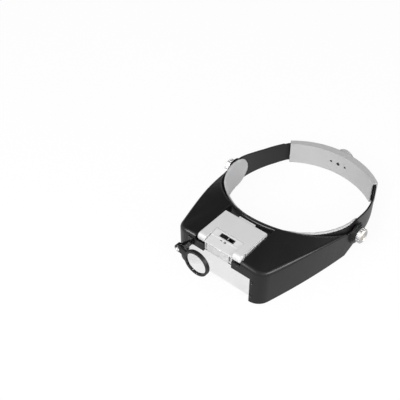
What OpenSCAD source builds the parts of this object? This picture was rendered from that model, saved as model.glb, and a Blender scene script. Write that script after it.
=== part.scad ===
// Lighted headband magnifier, built from separate pieces in millimetres.
// The drawing origin is on the floor under the axis of the two side knobs.
// +Z is up, the lenses face -Y and the wearer's left hand is at +X.

/* [Headband] */
// Inside radius of the forehead pad
pad_r = 84.5; // [83:0.5:86]
// Thickness of the forehead pad
pad_t = 2.7; // [2:0.1:2.7]
// Height of the forehead pad
pad_h = 42.5; // [38:0.5:44]
// Distance from the knob axis back to the centre of the head arc
head_y = 3; // [2:0.5:4]
// Rise of the pad's upper edge from its ends to its middle
pad_rise = 8; // [4:0.5:9]
// Gap between the pad and the band in front of it
band_clear = 0.2; // [0.2:0.05:0.4]
// Thickness of the band and its side straps
band_t = 2; // [1.6:0.1:2.2]
// Height of the band across the forehead
band_h = 47.5; // [44:0.5:48.5]
// Height of the raised ears of the band beside the knobs
ear_h = 42.5; // [40:0.5:43.5]
// Height of the lower edge of the band above the floor
band_z = 2; // [1:0.5:2.5]
// Height of a side strap
strap_h = 29.3; // [28.5:0.1:31]
// Radius of the bend where a strap enters the rear housing
strap_bend_r = 10; // [8:1:16]

/* [Rear housing] */
// Inside radius of the rear housing
house_r = 104.4; // [103.5:0.1:105.5]
// Distance from the knob axis back to the centre of the housing arc
house_y = 1; // [0:0.5:2]
// Height of the rear housing
house_h = 31; // [30:0.5:33]
// Wall thickness of the rear housing
house_wall = 1.6; // [1.4:0.1:1.8]
// Half of the angle that the rear housing covers
house_half_angle = 37.3; // [36:0.1:38.5]
// Thickness of the rear housing at its middle
house_mid_t = 10.8; // [10.2:0.1:11.6]
// Thickness of the rear housing at its ends
house_end_t = 7.7; // [7.4:0.1:8.2]
// Thickness of a toothed strap end
rack_t = 1.8; // [1.6:0.1:1.8]
// Height of the knob's middle above the middle of the housing
knob_rise = 0.7; // [0.4:0.1:1]
// Sideways distance of the two housing screws from the middle
house_screw_x = 10.8; // [10.4:0.1:11.2]

/* [Rear adjuster] */
// Number of teeth on the adjuster pinion
pinion_teeth = 10; // [10:2:12]
// Pitch radius of the adjuster pinion
pinion_r = 6; // [5.8:0.1:6.2]
// Distance that each strap end can be drawn in
strap_travel = 29.3; // [25:0.1:29.5]
// Radius of the adjuster knob
adjuster_r = 13.2; // [12.8:0.1:14]
// Thickness of the adjuster knob
adjuster_t = 8.4; // [8.2:0.1:9.5]
// Number of grip hollows round the adjuster knob
adjuster_grips = 30; // [24:1:36]
// Number of clicks in one turn of the adjuster knob
click_teeth = 24; // [18:2:30]

/* [Knob pivots] */
// Height of the knob axis above the floor
pivot_z = 26; // [25.5:0.1:26.5]
// Radius of the pivot bolts
bolt_r = 2.5; // [2:0.1:2.8]
// Radius of the round ears of the visor
visor_ear_r = 14; // [13:0.1:15]
// Radius of the clamp knobs
knob_r = 9.5; // [8.5:0.1:10.5]
// Thickness of the clamp knobs
knob_t = 7; // [6:0.1:8]
// Number of ribs round a clamp knob
knob_ribs = 18; // [12:1:24]

/* [Visor] */
// Gap between the band and the rim of the visor round it
rim_clear = 1.6; // [1.4:0.1:1.8]
// Gap between the band's ears and the side walls of the visor, at their outer faces
cheek_clear = 4.3; // [4.2:0.1:4.8]
// Depth of the visor's deck from the rim to the front face
deck_l = 61.5; // [60:0.5:62.5]
// Half of the visor's width at the front, before the corner is rounded
front_half_w = 60.2; // [59:0.2:61.5]
// Outward bulge of the side walls in plan
side_bulge = 3.4; // [3:0.1:3.8]
// Radius of the front corners in plan
corner_r = 18; // [16:0.5:19]
// Wall thickness of the visor
shell_t = 2.2; // [1.8:0.1:2.4]
// Radius of the rounded upper edge at the front
edge_r = 5; // [4:0.5:5.5]
// Radius of the rounded upper edge along the sides
side_edge_r = 2.6; // [2.5:0.1:3.5]
// Outward lean of the side walls
wall_lean = 0.5; // [0:0.1:1.5]

/* [Lenses] */
// Half of the width of the front opening
opening_half_w = 46.7; // [45:0.1:47.5]
// Height of the upper edge of the front opening
opening_top = 37; // [36.5:0.1:37.5]
// Thickness of the front lens
lens_t = 3; // [2.4:0.1:3.2]
// Height of the lower edge of the front lens
lens_bottom = 6; // [4:0.5:8]
// Depth of the flip lens from its hinge to its free edge
flip_lens_h = 27; // [24:0.5:28]
// Thickness of the flip lens
flip_lens_t = 2.5; // [2:0.1:2.8]

/* [Lamp] */
// Half of the width of the lamp
lamp_half_w = 31.5; // [31:0.1:31.7]
// Half of the width of the recess that holds the lamp
recess_half_w = 33; // [32.6:0.1:33.4]
// Gap between the visor's rim and the rear edge of the lamp
lamp_clear = 9; // [8.5:0.1:9.5]
// Distance from the visor's front face back to the lamp's hinge pins
lamp_setback = 7; // [6.8:0.1:7.2]
// Height of the lamp's hinge pins
lamp_axis_z = 52; // [51.8:0.1:52.3]
// Radius of the rolled ears of the battery lid
roll_r = 5.5; // [5.2:0.1:5.6]
// Thickness of the battery lid
lid_t = 1.5; // [1.2:0.1:1.6]
// Half of the width of the switch cover between the ears
tongue_half_w = 19.5; // [19:0.1:19.8]
// Half of the length of the switch slot
slot_half_w = 10.2; // [9:0.1:10.5]
// Width of the switch slot
slot_w = 5.8; // [4:0.1:6]
// Radius of an AAA battery
battery_r = 5.2; // [5.1:0.05:5.25]
// Length of an AAA battery
battery_l = 44.5; // [44:0.1:44.6]

/* [Loupe] */
// Sideways distance of the loupe's pivot screw
loupe_x = 43; // [42:0.5:44]
// Height of the loupe's pivot screw
loupe_z = 39.8; // [38.5:0.1:40.5]
// Distance from the pivot screw to the middle of the ring
loupe_arm = 28; // [26:0.5:30]
// Drop of the ring's middle below the pivot screw
loupe_drop = 6.2; // [5:0.1:8]
// Outer radius of the loupe ring
ring_r = 17.2; // [16.5:0.1:17.6]
// Depth of the loupe ring
ring_t = 4.4; // [4:0.1:5]
// Distance from the visor's front face to the middle of the loupe ring
loupe_gap = 17; // [16:0.1:17.5]

/* [Fits] */
// Clearance round a pin or bolt that something turns on
run_fit = 0.06; // [0.03:0.01:0.09]
// Gap between faces that move past each other
gap = 0.3; // [0.2:0.05:0.35]

/* [Hidden] */

fine = 180;
small = 48;
over = 1;
tall = 100;

black = [0.09, 0.09, 0.1];
pad_grey = [0.72, 0.72, 0.73];
case_grey = [0.8, 0.8, 0.8];
lamp_grey = [0.84, 0.84, 0.84];
steel = [0.75, 0.75, 0.77];
clear = [0.85, 0.9, 0.95, 0.4];

// Overall places
band_r = pad_r + pad_t + band_clear;
rim_r = band_r + band_t + rim_clear;
rear_half_w = band_r + band_t + cheek_clear;
front_y = rim_r - head_y + deck_l;
lamp_rear_y = rim_r - head_y + lamp_clear;
lamp_axis_y = front_y - lamp_setback;
loupe_y = front_y + loupe_gap;
arm_t = 2.6;
loupe_head_t = 1.5;
loupe_front_y = loupe_y + arm_t / 2 + loupe_head_t;
adjuster_face_y = house_y + house_r + house_mid_t + 0.4;
adjuster_back_y = adjuster_face_y + adjuster_t;
frame_y = (adjuster_back_y - loupe_front_y) / 2;

// Rear housing
chan_in = house_r + house_wall;
rack_in_r = chan_in + gap;
rack_out_r = rack_in_r + rack_t + gap;
chan_out = rack_out_r + rack_t + gap;
chan_mid = (chan_in + chan_out) / 2;
house_z = 0;
adjuster_z = house_z + house_h / 2 + knob_rise;
house_out_mid = house_y + house_r + house_mid_t;
house_end_x = (house_r + house_end_t) * sin(house_half_angle);
house_end_y = house_y + (house_r + house_end_t) * cos(house_half_angle);
house_sag = house_out_mid - house_end_y;
house_out_r = (house_end_x * house_end_x + house_sag * house_sag) / (2 * house_sag);
house_out_y = house_out_mid - house_out_r;
rack_h = house_h - 2 * house_wall - 2 * gap;

// Pinion and racks
pressure_angle = 30;
tooth_module = 2 * pinion_r / pinion_teeth;
tooth_pitch = PI * tooth_module;
addendum = 0.8 * tooth_module;
dedendum = 1.05 * tooth_module;
backlash = 0.3;
slot_clear = pinion_r + addendum + 0.5;
post_r = 2.2;
slot_start = house_screw_x + post_r + 0.5;
rack_tip = slot_start + 6.5;
slot_end = slot_start + strap_travel;
stub_l = 5;
rack_end = chan_mid * house_half_angle * PI / 180 - stub_l - 1;
hub_r = 4;
pinion_y0 = house_y + chan_in + gap / 2;
pinion_y1 = house_y + sqrt(pow(chan_out, 2) - pow(pinion_r + addendum, 2)) - gap;

// Adjuster knob
knob_cavity_r = adjuster_r - 1.5;
ratchet_r = knob_cavity_r - 0.6;
ratchet_root_r = ratchet_r - 1.2;
ratchet_tip_r = ratchet_root_r - 1;
ratchet_back_y = adjuster_face_y + 2.6;
cavity_back_y = ratchet_back_y + 0.9;
hub_end_y = cavity_back_y + 1.2;
adjuster_screw_r = 1.25;
adjuster_head_r = 2.2;

// Strap route in plan: a long arc from the ear, then a tighter bend into the housing
strap_x0 = band_r + band_t / 2;
mouth = [chan_mid * sin(house_half_angle), house_y + chan_mid * cos(house_half_angle)];
bend_c = [mouth.x - strap_bend_r * sin(house_half_angle), mouth.y - strap_bend_r * cos(house_half_angle)];
bend_dx = strap_x0 - bend_c.x;
bend_dy = bend_c.y - head_y;
strap_r = (bend_dx * bend_dx + bend_dy * bend_dy - strap_bend_r * strap_bend_r) / (2 * (bend_dx - strap_bend_r));
strap_cx = strap_x0 - strap_r;
strap_angle = atan2(bend_dy, bend_c.x - strap_cx);
mouth_angle = 90 - house_half_angle;

// Visor plan: the side wall is one arc, joined to the front by a rounded corner
side_chord = norm([rear_half_w - front_half_w, front_y]);
side_r = (side_chord * side_chord / 4 + side_bulge * side_bulge) / (2 * side_bulge);
side_cx = (rear_half_w + front_half_w) / 2 - (front_y / side_chord) * (side_r - side_bulge);
side_cy = -front_y / 2 + ((rear_half_w - front_half_w) / side_chord) * (side_r - side_bulge);
corner_cy = corner_r - front_y;
corner_cx = side_cx + sqrt(pow(side_r - corner_r, 2) - pow(corner_cy - side_cy, 2));
corner_angle = atan2(corner_cy - side_cy, corner_cx - side_cx);
deck_end_y = 20;
deck_end_angle = asin((-deck_end_y - side_cy) / side_r);
knob_end_angle = asin((0 - side_cy) / side_r);

// Visor heights round the head: the ridge over the side wall and the rim over the forehead
ridge_side_h = 32.3;
ridge_rise = 18.5;
front_rise = 3.5;
rim_side_h = 28;
rim_rise = 31;
bar_t = 1.7;

// Knob pivots
ear_in_x = rear_half_w - shell_t;
ear_out_x = rear_half_w + 0.5;
boss_in_x = band_r + band_t + gap + 0.1;
boss_out_x = ear_out_x + 1;
boss_in_r = 9;
boss_out_r = visor_ear_r - 1.2;
washer_x = boss_out_x + 0.1;
washer_t = 0.8;
knob_x = washer_x + washer_t + 0.2;
bolt_head_r = 5;
bolt_head_t = 1;
bolt_end_x = knob_x + knob_t - 0.6;
insert_r = 4.5;

// Lenses
pocket_y = front_y - shell_t;
lens_half_w = opening_half_w + 4.3;
lens_top = opening_top + 1.2;
lens_back_y = pocket_y - gap / 3 - lens_t;
clip_t = 2.2;
clip_y = lens_back_y - gap / 3 - clip_t;
clip_in_x = opening_half_w + 0.1;
clip_out_x = lens_half_w - 0.1;
lens_screw_x = opening_half_w + 2.3;
lens_screw_zs = [lens_bottom + 4, lens_top - 6.2];
screw_r = 1.1;
screw_head_r = 2.1;
flip_axis_y = clip_y - 3.4;
flip_axis_z = lens_top - 2.8;
flip_pin_r = 1.2;
lug_r = 3.2;
lug_t = 2.4;
frame_half_w = clip_in_x - gap;

// Lamp
tray_wall = 1.5;
lid_top = lamp_axis_z + roll_r;
lid_bottom = lid_top - lid_t;
tray_top = lid_bottom - gap / 2;
tray_bottom = 43.5;
tray_rear_y = lamp_rear_y + 0.5;
tray_front_y = lamp_axis_y - roll_r - gap - 0.4;
block_rear_y = lamp_axis_y - 16.4;
block_bottom = lamp_axis_z - 11.5;
block_front_y = lamp_axis_y + 5.3;
window_t = 1.5;
window_half_w = 15.6;
tongue_drop = 4.5;
pin_r = 1.5;
ear_in = tongue_half_w + gap + 0.2;
pin_in_x = tongue_half_w - 3.5;
pin_out_x = recess_half_w + 1.6;
tab_top = 47;
tab_in_x = tongue_half_w + 0.7;
floor_top = 42;
floor_t = 1.6;
rail_t = 2.2;
slider_travel = 8;
slot_y = lamp_axis_y - 11.4;
slope = atan2(tongue_drop, block_front_y - block_rear_y);
battery_z = tray_bottom + tray_wall + battery_r + 0.3;
battery_ys = [tray_rear_y + tray_wall + battery_r + 0.6, tray_rear_y + tray_wall + 3 * battery_r + 1.2];
board_y = block_front_y - 5.6;
led_x = 8;
led_r = 2.4;
led_z = 46.5;
led_stem = 2.6;

// Loupe
loupe_angle = asin(loupe_drop / loupe_arm);
ring_cx = -loupe_x + loupe_arm * cos(loupe_angle);
ring_cz = loupe_z - loupe_drop;
ring_wall = 2;
lug_front_y = loupe_y - arm_t / 2 - gap;
bracket_t = 2.8;
loupe_pin_r = 1.6;
lug_eye_r = 5.2;

// Helpers
module both_sides() {
  children();
  mirror([1, 0, 0]) children();
}

module ring_arc(r0, r1, z0, z1, a0, a1) {
  rotate([0, 0, a0]) rotate_extrude(angle = a1 - a0, $fn = fine) translate([r0, z0]) square([r1 - r0, z1 - z0]);
}

// A cylinder along Y from y0 to y1
module rod_y(r, y0, y1, n = small) {
  translate([0, y1, 0]) rotate([90, 0, 0]) cylinder(r = r, h = y1 - y0, $fn = n);
}

// A cylinder along X from x0 to x1
module rod_x(r, x0, x1, n = small) {
  translate([x0, 0, 0]) rotate([0, 90, 0]) cylinder(r = r, h = x1 - x0, $fn = n);
}

// A side view outline in Y and Z, cut through the whole width
module side_cut(width) {
  rotate([90, 0, 90]) linear_extrude(height = width, center = true) children();
}

// A front view outline in X and Z, extruded from y0 to y1
module front_cut(y0, y1) {
  translate([0, y1, 0]) rotate([90, 0, 0]) linear_extrude(height = y1 - y0) children();
}

module box(x0, x1, y0, y1, z0, z1) {
  translate([x0, y0, z0]) cube([x1 - x0, y1 - y0, z1 - z0]);
}

// Headband
module band_outline() {
  strap_rear_top = band_z + strap_h;
  narrow_y = 82;
  level_y = 68;
  rear_y = narrow_y + 48;
  dip = 3.6;
  rise_a = [50, 1.7];
  rise_b = [33, 5];
  front = band_r + band_t;
  ear_w = 7;
  rear_bottom = house_z + house_wall + gap;
  rear_top = house_z + house_h - house_wall - gap;
  polygon([
    [-front, band_z], [-2 * ear_w, band_z], [2 * ear_w, band_z + dip], [level_y, band_z],
    [narrow_y, rear_bottom], [rear_y, rear_bottom], [rear_y, rear_top], [narrow_y, rear_top],
    [narrow_y - 2, strap_rear_top - 1], [level_y, strap_rear_top],
    [rise_a.x, strap_rear_top + rise_a.y], [rise_b.x, strap_rear_top + rise_b.y],
    [2 * ear_w + 1, ear_h - 1.6], [ear_w, ear_h],
    [-2.7 * ear_w, ear_h], [-front, band_z + band_h]
  ]);
}

module strap_strip() {
  h = house_r;
  t = band_t / 2;
  bend_end = mouth_angle;
  stub_angle = stub_l / chan_mid * 180 / PI;
  lap = 0.6;
  translate([strap_cx, head_y, 0]) ring_arc(strap_r - t, strap_r + t, 0, h, -lap, strap_angle + lap / 2);
  translate([bend_c.x, bend_c.y, 0]) ring_arc(strap_bend_r - t, strap_bend_r + t, 0, h, strap_angle, bend_end + lap);
  translate([0, house_y, 0]) ring_arc(chan_mid - t, chan_mid + t, 0, h, bend_end, bend_end + stub_angle);
}

module forehead_band() {
  color(black) difference() {
    intersection() {
      union() {
        translate([0, head_y, 0]) ring_arc(band_r, band_r + band_t, 0, house_r, 180, 360);
        both_sides() strap_strip();
      }
      side_cut(3 * house_r) band_outline();
    }
    both_sides() translate([0, 0, pivot_z]) {
      rod_x(bolt_r + run_fit, band_r - 5, band_r + band_t + 5);
      rod_x(bolt_head_r + run_fit, band_r - 5, band_r + bolt_head_t);
    }
  }
}

module forehead_pad() {
  end_r = pad_h / 2;
  end_y = -4;
  top = band_z + pad_h;
  color(pad_grey) intersection() {
    translate([0, head_y, 0]) ring_arc(pad_r, pad_r + pad_t, 0, house_r, 150, 390);
    side_cut(3 * pad_r) union() {
      polygon([[-2 * pad_r, band_z], [end_y, band_z], [end_y, top], [-2 * pad_r, top + pad_rise * 2]]);
      translate([end_y, band_z + end_r]) circle(r = end_r, $fn = fine);
    }
  }
}

// Rear housing
module house_arc(r0, r1, z0, z1) {
  translate([0, house_y, house_z]) ring_arc(r0, r1, z0, z1, 90 - house_half_angle, 90 + house_half_angle);
}

module rear_housing_inner() {
  split_r = chan_mid - gap / 6;
  color(case_grey) difference() {
    union() {
      house_arc(house_r, chan_in, 0, house_h);
      house_arc(house_r, split_r, 0, house_wall);
      house_arc(house_r, split_r, house_h - house_wall, house_h);
      both_sides() translate([house_screw_x, 0, adjuster_z])
        rod_y(post_r, house_y + house_r + house_wall / 2, house_y + chan_out - 1.3);
    }
    both_sides() translate([house_screw_x, 0, adjuster_z]) {
      rod_y(screw_r + run_fit, house_y + house_r - 5, house_y + chan_out + 1);
      rod_y(screw_r + 0.6, house_y + house_r - 5, house_y + house_r + 0.7);
    }
    translate([0, 0, adjuster_z]) rod_y(adjuster_head_r + 0.3, house_y + house_r - 5, house_y + chan_in + 1);
  }
}

module click_tooth() {
  step = 360 / click_teeth;
  polygon([
    [ratchet_tip_r * cos(-step * 0.42), ratchet_tip_r * sin(-step * 0.42)],
    [ratchet_root_r * cos(-step * 0.3), ratchet_root_r * sin(-step * 0.3)],
    [ratchet_root_r * cos(step * 0.3), ratchet_root_r * sin(step * 0.3)],
    [ratchet_tip_r * cos(step * 0.42), ratchet_tip_r * sin(step * 0.42)]
  ]);
}

module rear_housing_outer() {
  split_r = chan_mid + gap / 6;
  step = 360 / click_teeth;
  color(case_grey) difference() {
    union() {
      difference() {
        intersection() {
          translate([0, house_out_y, house_z]) cylinder(r = house_out_r, h = house_h, $fn = fine);
          house_arc(split_r, house_r + house_mid_t + 5, 0, house_h);
        }
        translate([0, house_y, house_z + house_wall]) cylinder(r = chan_out, h = house_h - 2 * house_wall, $fn = fine);
      }
      translate([0, 0, adjuster_z]) rod_y(ratchet_r, house_y + chan_out + 1, ratchet_back_y, 96);
    }
    translate([0, 0, adjuster_z]) {
      rod_y(hub_r + run_fit, house_y + chan_out - 2, ratchet_back_y + over);
      rod_y(ratchet_tip_r, adjuster_face_y - 0.2, ratchet_back_y + over, 96);
      for (i = [0 : click_teeth - 1]) rotate([0, i * step, 0])
        front_cut(adjuster_face_y - 0.2, ratchet_back_y + over) click_tooth();
    }
    both_sides() translate([house_screw_x, 0, adjuster_z]) {
      rod_y(post_r + 0.1, house_y + chan_out - 2, house_y + chan_out + 0.2);
      rod_y(screw_r + 0.02, house_y + chan_out - 2, house_y + chan_out + 2.5);
    }
  }
}

module housing_screws() {
  color(steel) both_sides() translate([house_screw_x, 0, adjuster_z]) {
    rod_y(screw_r, house_y + house_r + 0.3, house_y + chan_out + 2.3);
    rod_y(screw_r + 0.5, house_y + house_r + 0.1, house_y + house_r + 0.6);
  }
}

// Toothed strap ends. teeth_up is 1 for teeth on the upper edge of the slot and -1 for the lower edge.
module rack_gap(depth0, depth1) {
  half0 = tooth_pitch / 4 + backlash / 4 + (pinion_r - depth0) * tan(pressure_angle);
  half1 = tooth_pitch / 4 + backlash / 4 + (pinion_r - depth1) * tan(pressure_angle);
  polygon([[-half0, depth0], [half0, depth0], [half1, depth1], [-half1, depth1]]);
}

module strap_rack(r0, side, teeth_up) {
  r_mid = r0 + rack_t / 2;
  deg = 180 / PI / r_mid;
  tip_z = pinion_r - addendum;
  root_z = pinion_r + dedendum + 0.1;
  first = -floor((slot_start - 1.5) / tooth_pitch);
  last = floor((slot_end - 2) / tooth_pitch);
  color(black) translate([0, house_y, adjuster_z]) difference() {
    ring_arc(r0, r0 + rack_t, -rack_h / 2 - knob_rise, rack_h / 2 - knob_rise,
             90 - (side > 0 ? rack_end : rack_tip) * deg, 90 + (side > 0 ? rack_tip : rack_end) * deg);
    ring_arc(r0 - over, r0 + rack_t + over,
             teeth_up > 0 ? -slot_clear : -tip_z, teeth_up > 0 ? tip_z : slot_clear,
             90 - (side > 0 ? slot_end : slot_start) * deg, 90 + (side > 0 ? slot_start : slot_end) * deg);
    for (i = [first : last]) rotate([0, 0, -side * i * tooth_pitch * deg])
      front_cut(r0 - over, r0 + rack_t + over) scale_y(teeth_up) rack_gap(tip_z - 0.5, root_z);
  }
}

module scale_y(sign) {
  if (sign > 0) children();
  else mirror([0, 1]) children();
}

module strap_rack_left() {
  strap_rack(rack_in_r, 1, 1);
}

module strap_rack_right() {
  strap_rack(rack_out_r, -1, -1);
}

// Involute of the base circle, as a point at radius r on a flank that starts at angle zero
function involute_angle(r, rb) = sqrt(r * r / (rb * rb) - 1) * 180 / PI - acos(rb / r);

function pinion_flank(sign, rb, r_from, r_to, half, n) = [
  for (k = [0 : n]) let (
    r = r_from + (r_to - r_from) * k / n,
    a = sign * (half - involute_angle(max(r, rb), rb))
  ) [r * sin(a), r * cos(a)]
];

module pinion_outline() {
  rb = pinion_r * cos(pressure_angle);
  root = pinion_r - dedendum;
  top = pinion_r + addendum;
  half = 90 / pinion_teeth - backlash / 4 / pinion_r * 180 / PI + involute_angle(pinion_r, rb);
  circle(r = root, $fn = small);
  for (i = [0 : pinion_teeth - 1]) rotate(i * 360 / pinion_teeth)
    polygon(concat([[0, 0]], pinion_flank(-1, rb, root * 0.98, top, half, 6),
                   [for (k = [6 : -1 : 0]) pinion_flank(1, rb, root * 0.98, top, half, 6)[k]]));
}

module adjuster_pinion() {
  color(case_grey) difference() {
    translate([0, 0, adjuster_z]) {
      front_cut(pinion_y0, pinion_y1) pinion_outline();
      rod_y(hub_r, pinion_y1 - 0.5, hub_end_y);
    }
    translate([0, 0, adjuster_z]) rod_y(adjuster_screw_r + 0.02, pinion_y0 - over, hub_end_y + over);
  }
}

module adjuster_screw() {
  color(steel) translate([0, 0, adjuster_z]) {
    rod_y(adjuster_head_r, pinion_y0 - 1.3, pinion_y0 - 0.05);
    rod_y(adjuster_screw_r, pinion_y0 - 0.1, hub_end_y + 2);
  }
}

module click_spring() {
  tip_r = ratchet_tip_r - gap;
  z_arm = 1.2;
  color(steel) translate([0, 0, adjuster_z]) difference() {
    union() {
      rod_y(hub_r + 2.2, adjuster_face_y + 0.3, adjuster_face_y + 1.5);
      for (a = [0, 180]) rotate([0, a, 0]) {
        front_cut(adjuster_face_y + 0.3, adjuster_face_y + 1.5) difference() {
          circle(r = tip_r - 0.8, $fn = small);
          circle(r = tip_r - 0.8 - z_arm, $fn = small);
          translate([-2 * tip_r, -2 * tip_r]) square([2 * tip_r, 4 * tip_r]);
        }
        front_cut(adjuster_face_y + 0.3, adjuster_face_y + 1.5)
          translate([0, tip_r - 0.8 - z_arm]) square([1.4, 1.9]);
        front_cut(adjuster_face_y + 0.3, adjuster_face_y + 1.5)
          translate([0, -tip_r + 0.8]) square([1.4, tip_r - hub_r - 1.8]);
      }
    }
    rod_y(hub_r + 0.05, adjuster_face_y - over, adjuster_face_y + 3);
  }
}

module adjuster_knob() {
  edge = 1.6;
  color(case_grey) difference() {
    translate([0, adjuster_back_y, adjuster_z]) rotate([90, 0, 0]) rotate_extrude($fn = fine)
      polygon(concat(
        [[0, 0]],
        [for (a = [0 : 15 : 90]) [adjuster_r - edge + edge * sin(a), edge - edge * cos(a)]],
        [[adjuster_r, adjuster_t - 0.5], [adjuster_r - 0.5, adjuster_t], [knob_cavity_r, adjuster_t],
         [knob_cavity_r, adjuster_back_y - cavity_back_y], [hub_r + 0.02, adjuster_back_y - cavity_back_y],
         [hub_r + 0.02, adjuster_back_y - hub_end_y - 0.1], [adjuster_screw_r, adjuster_back_y - hub_end_y - 0.1],
         [adjuster_screw_r, adjuster_back_y - hub_end_y - 2.2], [0, adjuster_back_y - hub_end_y - 2.2]]));
    for (i = [0 : adjuster_grips - 1]) rotate_about_knob(i * 360 / adjuster_grips)
      translate([adjuster_r + 0.6, 0, 0]) rod_y(1, adjuster_face_y - over, adjuster_back_y - 2, 24);
  }
}

module rotate_about_knob(a) {
  translate([0, 0, adjuster_z]) rotate([0, a, 0]) children();
}

// Knob pivots
module pivot_bolts() {
  color(steel) both_sides() translate([0, 0, pivot_z]) {
    rod_x(bolt_head_r, band_r + 0.05, band_r + bolt_head_t - 0.05);
    rod_x(bolt_r, band_r + 0.5, bolt_end_x);
  }
}

module friction_washers() {
  color(black) both_sides() translate([0, 0, pivot_z]) difference() {
    rod_x(boss_out_r - 1.4, washer_x, washer_x + washer_t, 64);
    rod_x(bolt_r + run_fit, washer_x - over, washer_x + washer_t + over);
  }
}

module clamp_knob() {
  rib = 0.7;
  color(steel) translate([0, 0, pivot_z]) difference() {
    translate([knob_x, 0, 0]) rotate([0, 90, 0]) rotate_extrude($fn = 96)
      polygon([[insert_r, 0], [knob_r - 1, 0], [knob_r, 1], [knob_r, knob_t - 1.2], [knob_r - 1.2, knob_t],
               [knob_r - 2.8, knob_t], [knob_r - 3.4, knob_t - 0.7], [insert_r, knob_t - 0.7]]);
    for (i = [0 : knob_ribs - 1]) rotate([i * 360 / knob_ribs, 0, 0])
      translate([0, knob_r + 0.2, 0]) rod_x(rib, knob_x - over, knob_x + knob_t + over, 16);
  }
}

module clamp_knob_left() {
  clamp_knob();
}

module clamp_knob_right() {
  mirror([1, 0, 0]) clamp_knob();
}

module knob_insert() {
  color([0.72, 0.6, 0.35]) translate([0, 0, pivot_z]) difference() {
    rod_x(insert_r, knob_x, knob_x + knob_t - 0.7);
    rod_x(bolt_r + run_fit, knob_x - over, knob_x + knob_t + over);
  }
}

module knob_insert_left() {
  knob_insert();
}

module knob_insert_right() {
  mirror([1, 0, 0]) knob_insert();
}

// Visor shell. plan_stop gives a point of the outer wall in plan and its outward direction.
function side_stop(a) = [side_cx + side_r * cos(a), side_cy + side_r * sin(a), cos(a), sin(a)];
function corner_stop(a) = [corner_cx + corner_r * cos(a), corner_cy + corner_r * sin(a), cos(a), sin(a)];

front_steps = 6;
corner_steps = 7;
side_steps = 12;
plan_stops = concat(
  [for (k = [0 : front_steps - 1]) [corner_cx * k / front_steps, -front_y, 0, -1]],
  [for (k = [0 : corner_steps - 1]) corner_stop(-90 + (corner_angle + 90) * k / corner_steps)],
  [for (k = [0 : side_steps - 1]) side_stop(corner_angle + (deck_end_angle - corner_angle) * k / side_steps)],
  [[side_stop(deck_end_angle).x, -deck_end_y, 1, 0]]
);

function head_angle(p) = atan2(p[0], head_y - p[1]);
function ease(t) = t <= 0 ? 0 : t >= 1 ? 1 : t * t * (3 - 2 * t);
function ridge_h(a) = ridge_side_h + ridge_rise * cos(a) + front_rise * ease((27 - a) / 12);
function rim_h(a) = rim_side_h + rim_rise * cos(a);
function rim_point(p) = p[1] > 0.001 - deck_end_y - 0.002 ?
  [sqrt(rim_r * rim_r - pow(deck_end_y + head_y, 2)), -deck_end_y] :
  [rim_r * sin(head_angle(p)), head_y - rim_r * cos(head_angle(p))];

// One section of the shell: outer face from floor to rim, then the inner face back to the floor
fillet_steps = 5;
function shell_section(p) = let (
  a = head_angle(p),
  rim = rim_point(p),
  lean = wall_lean * p[2] * ease((-p[1] - deck_end_y) / 50),
  kx = p[0] + p[2] * lean,
  ky = p[1] + p[3] * lean,
  r = min(side_edge_r + (edge_r - side_edge_r) * ease((50 - a) / 24), 0.7 * (norm([kx, ky - head_y]) - rim_r)),
  cx = kx - p[2] * r,
  cy = ky - p[3] * r,
  zk = ridge_h(a),
  zm = rim_h(a),
  ri = max(0.3, r - shell_t)
) concat(
  [[p[0], p[1], 0]],
  [for (k = [0 : fillet_steps]) let (b = 90 * k / fillet_steps)
    [cx + p[2] * r * cos(b), cy + p[3] * r * cos(b), zk - r + r * sin(b)]],
  [for (k = [1 : 3]) let (t = k / 3)
    [cx + (rim.x - cx) * t, cy + (rim.y - cy) * t, zk + (zm - zk) * t]],
  [for (k = [3 : -1 : 1]) let (t = k / 3)
    [cx + (rim.x - cx) * t, cy + (rim.y - cy) * t, zk - shell_t + (zm - zk) * t]],
  [for (k = [fillet_steps : -1 : 0]) let (b = 90 * k / fillet_steps)
    [cx + p[2] * (r - shell_t + (ri - r + shell_t)) * cos(b) - p[2] * (ri - r + shell_t),
     cy + p[3] * (r - shell_t + (ri - r + shell_t)) * cos(b) - p[3] * (ri - r + shell_t),
     zk - shell_t - ri + ri * sin(b)]],
  [[p[0] - p[2] * shell_t, p[1] - p[3] * shell_t, 0]]
);

function mirrored(s) = [for (q = s) [-q[0], q[1], q[2]]];

// Sections of the side wall behind the deck: outer bottom, outer top, inner top, inner bottom
function wall_section(y, z0, z1) = let (p = side_stop(asin((y - side_cy) / side_r))) [
  [p[0], p[1], z0], [p[0], p[1], z1],
  [p[0] - p[2] * shell_t, p[1] - p[3] * shell_t, z1], [p[0] - p[2] * shell_t, p[1] - p[3] * shell_t, z0]
];

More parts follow.
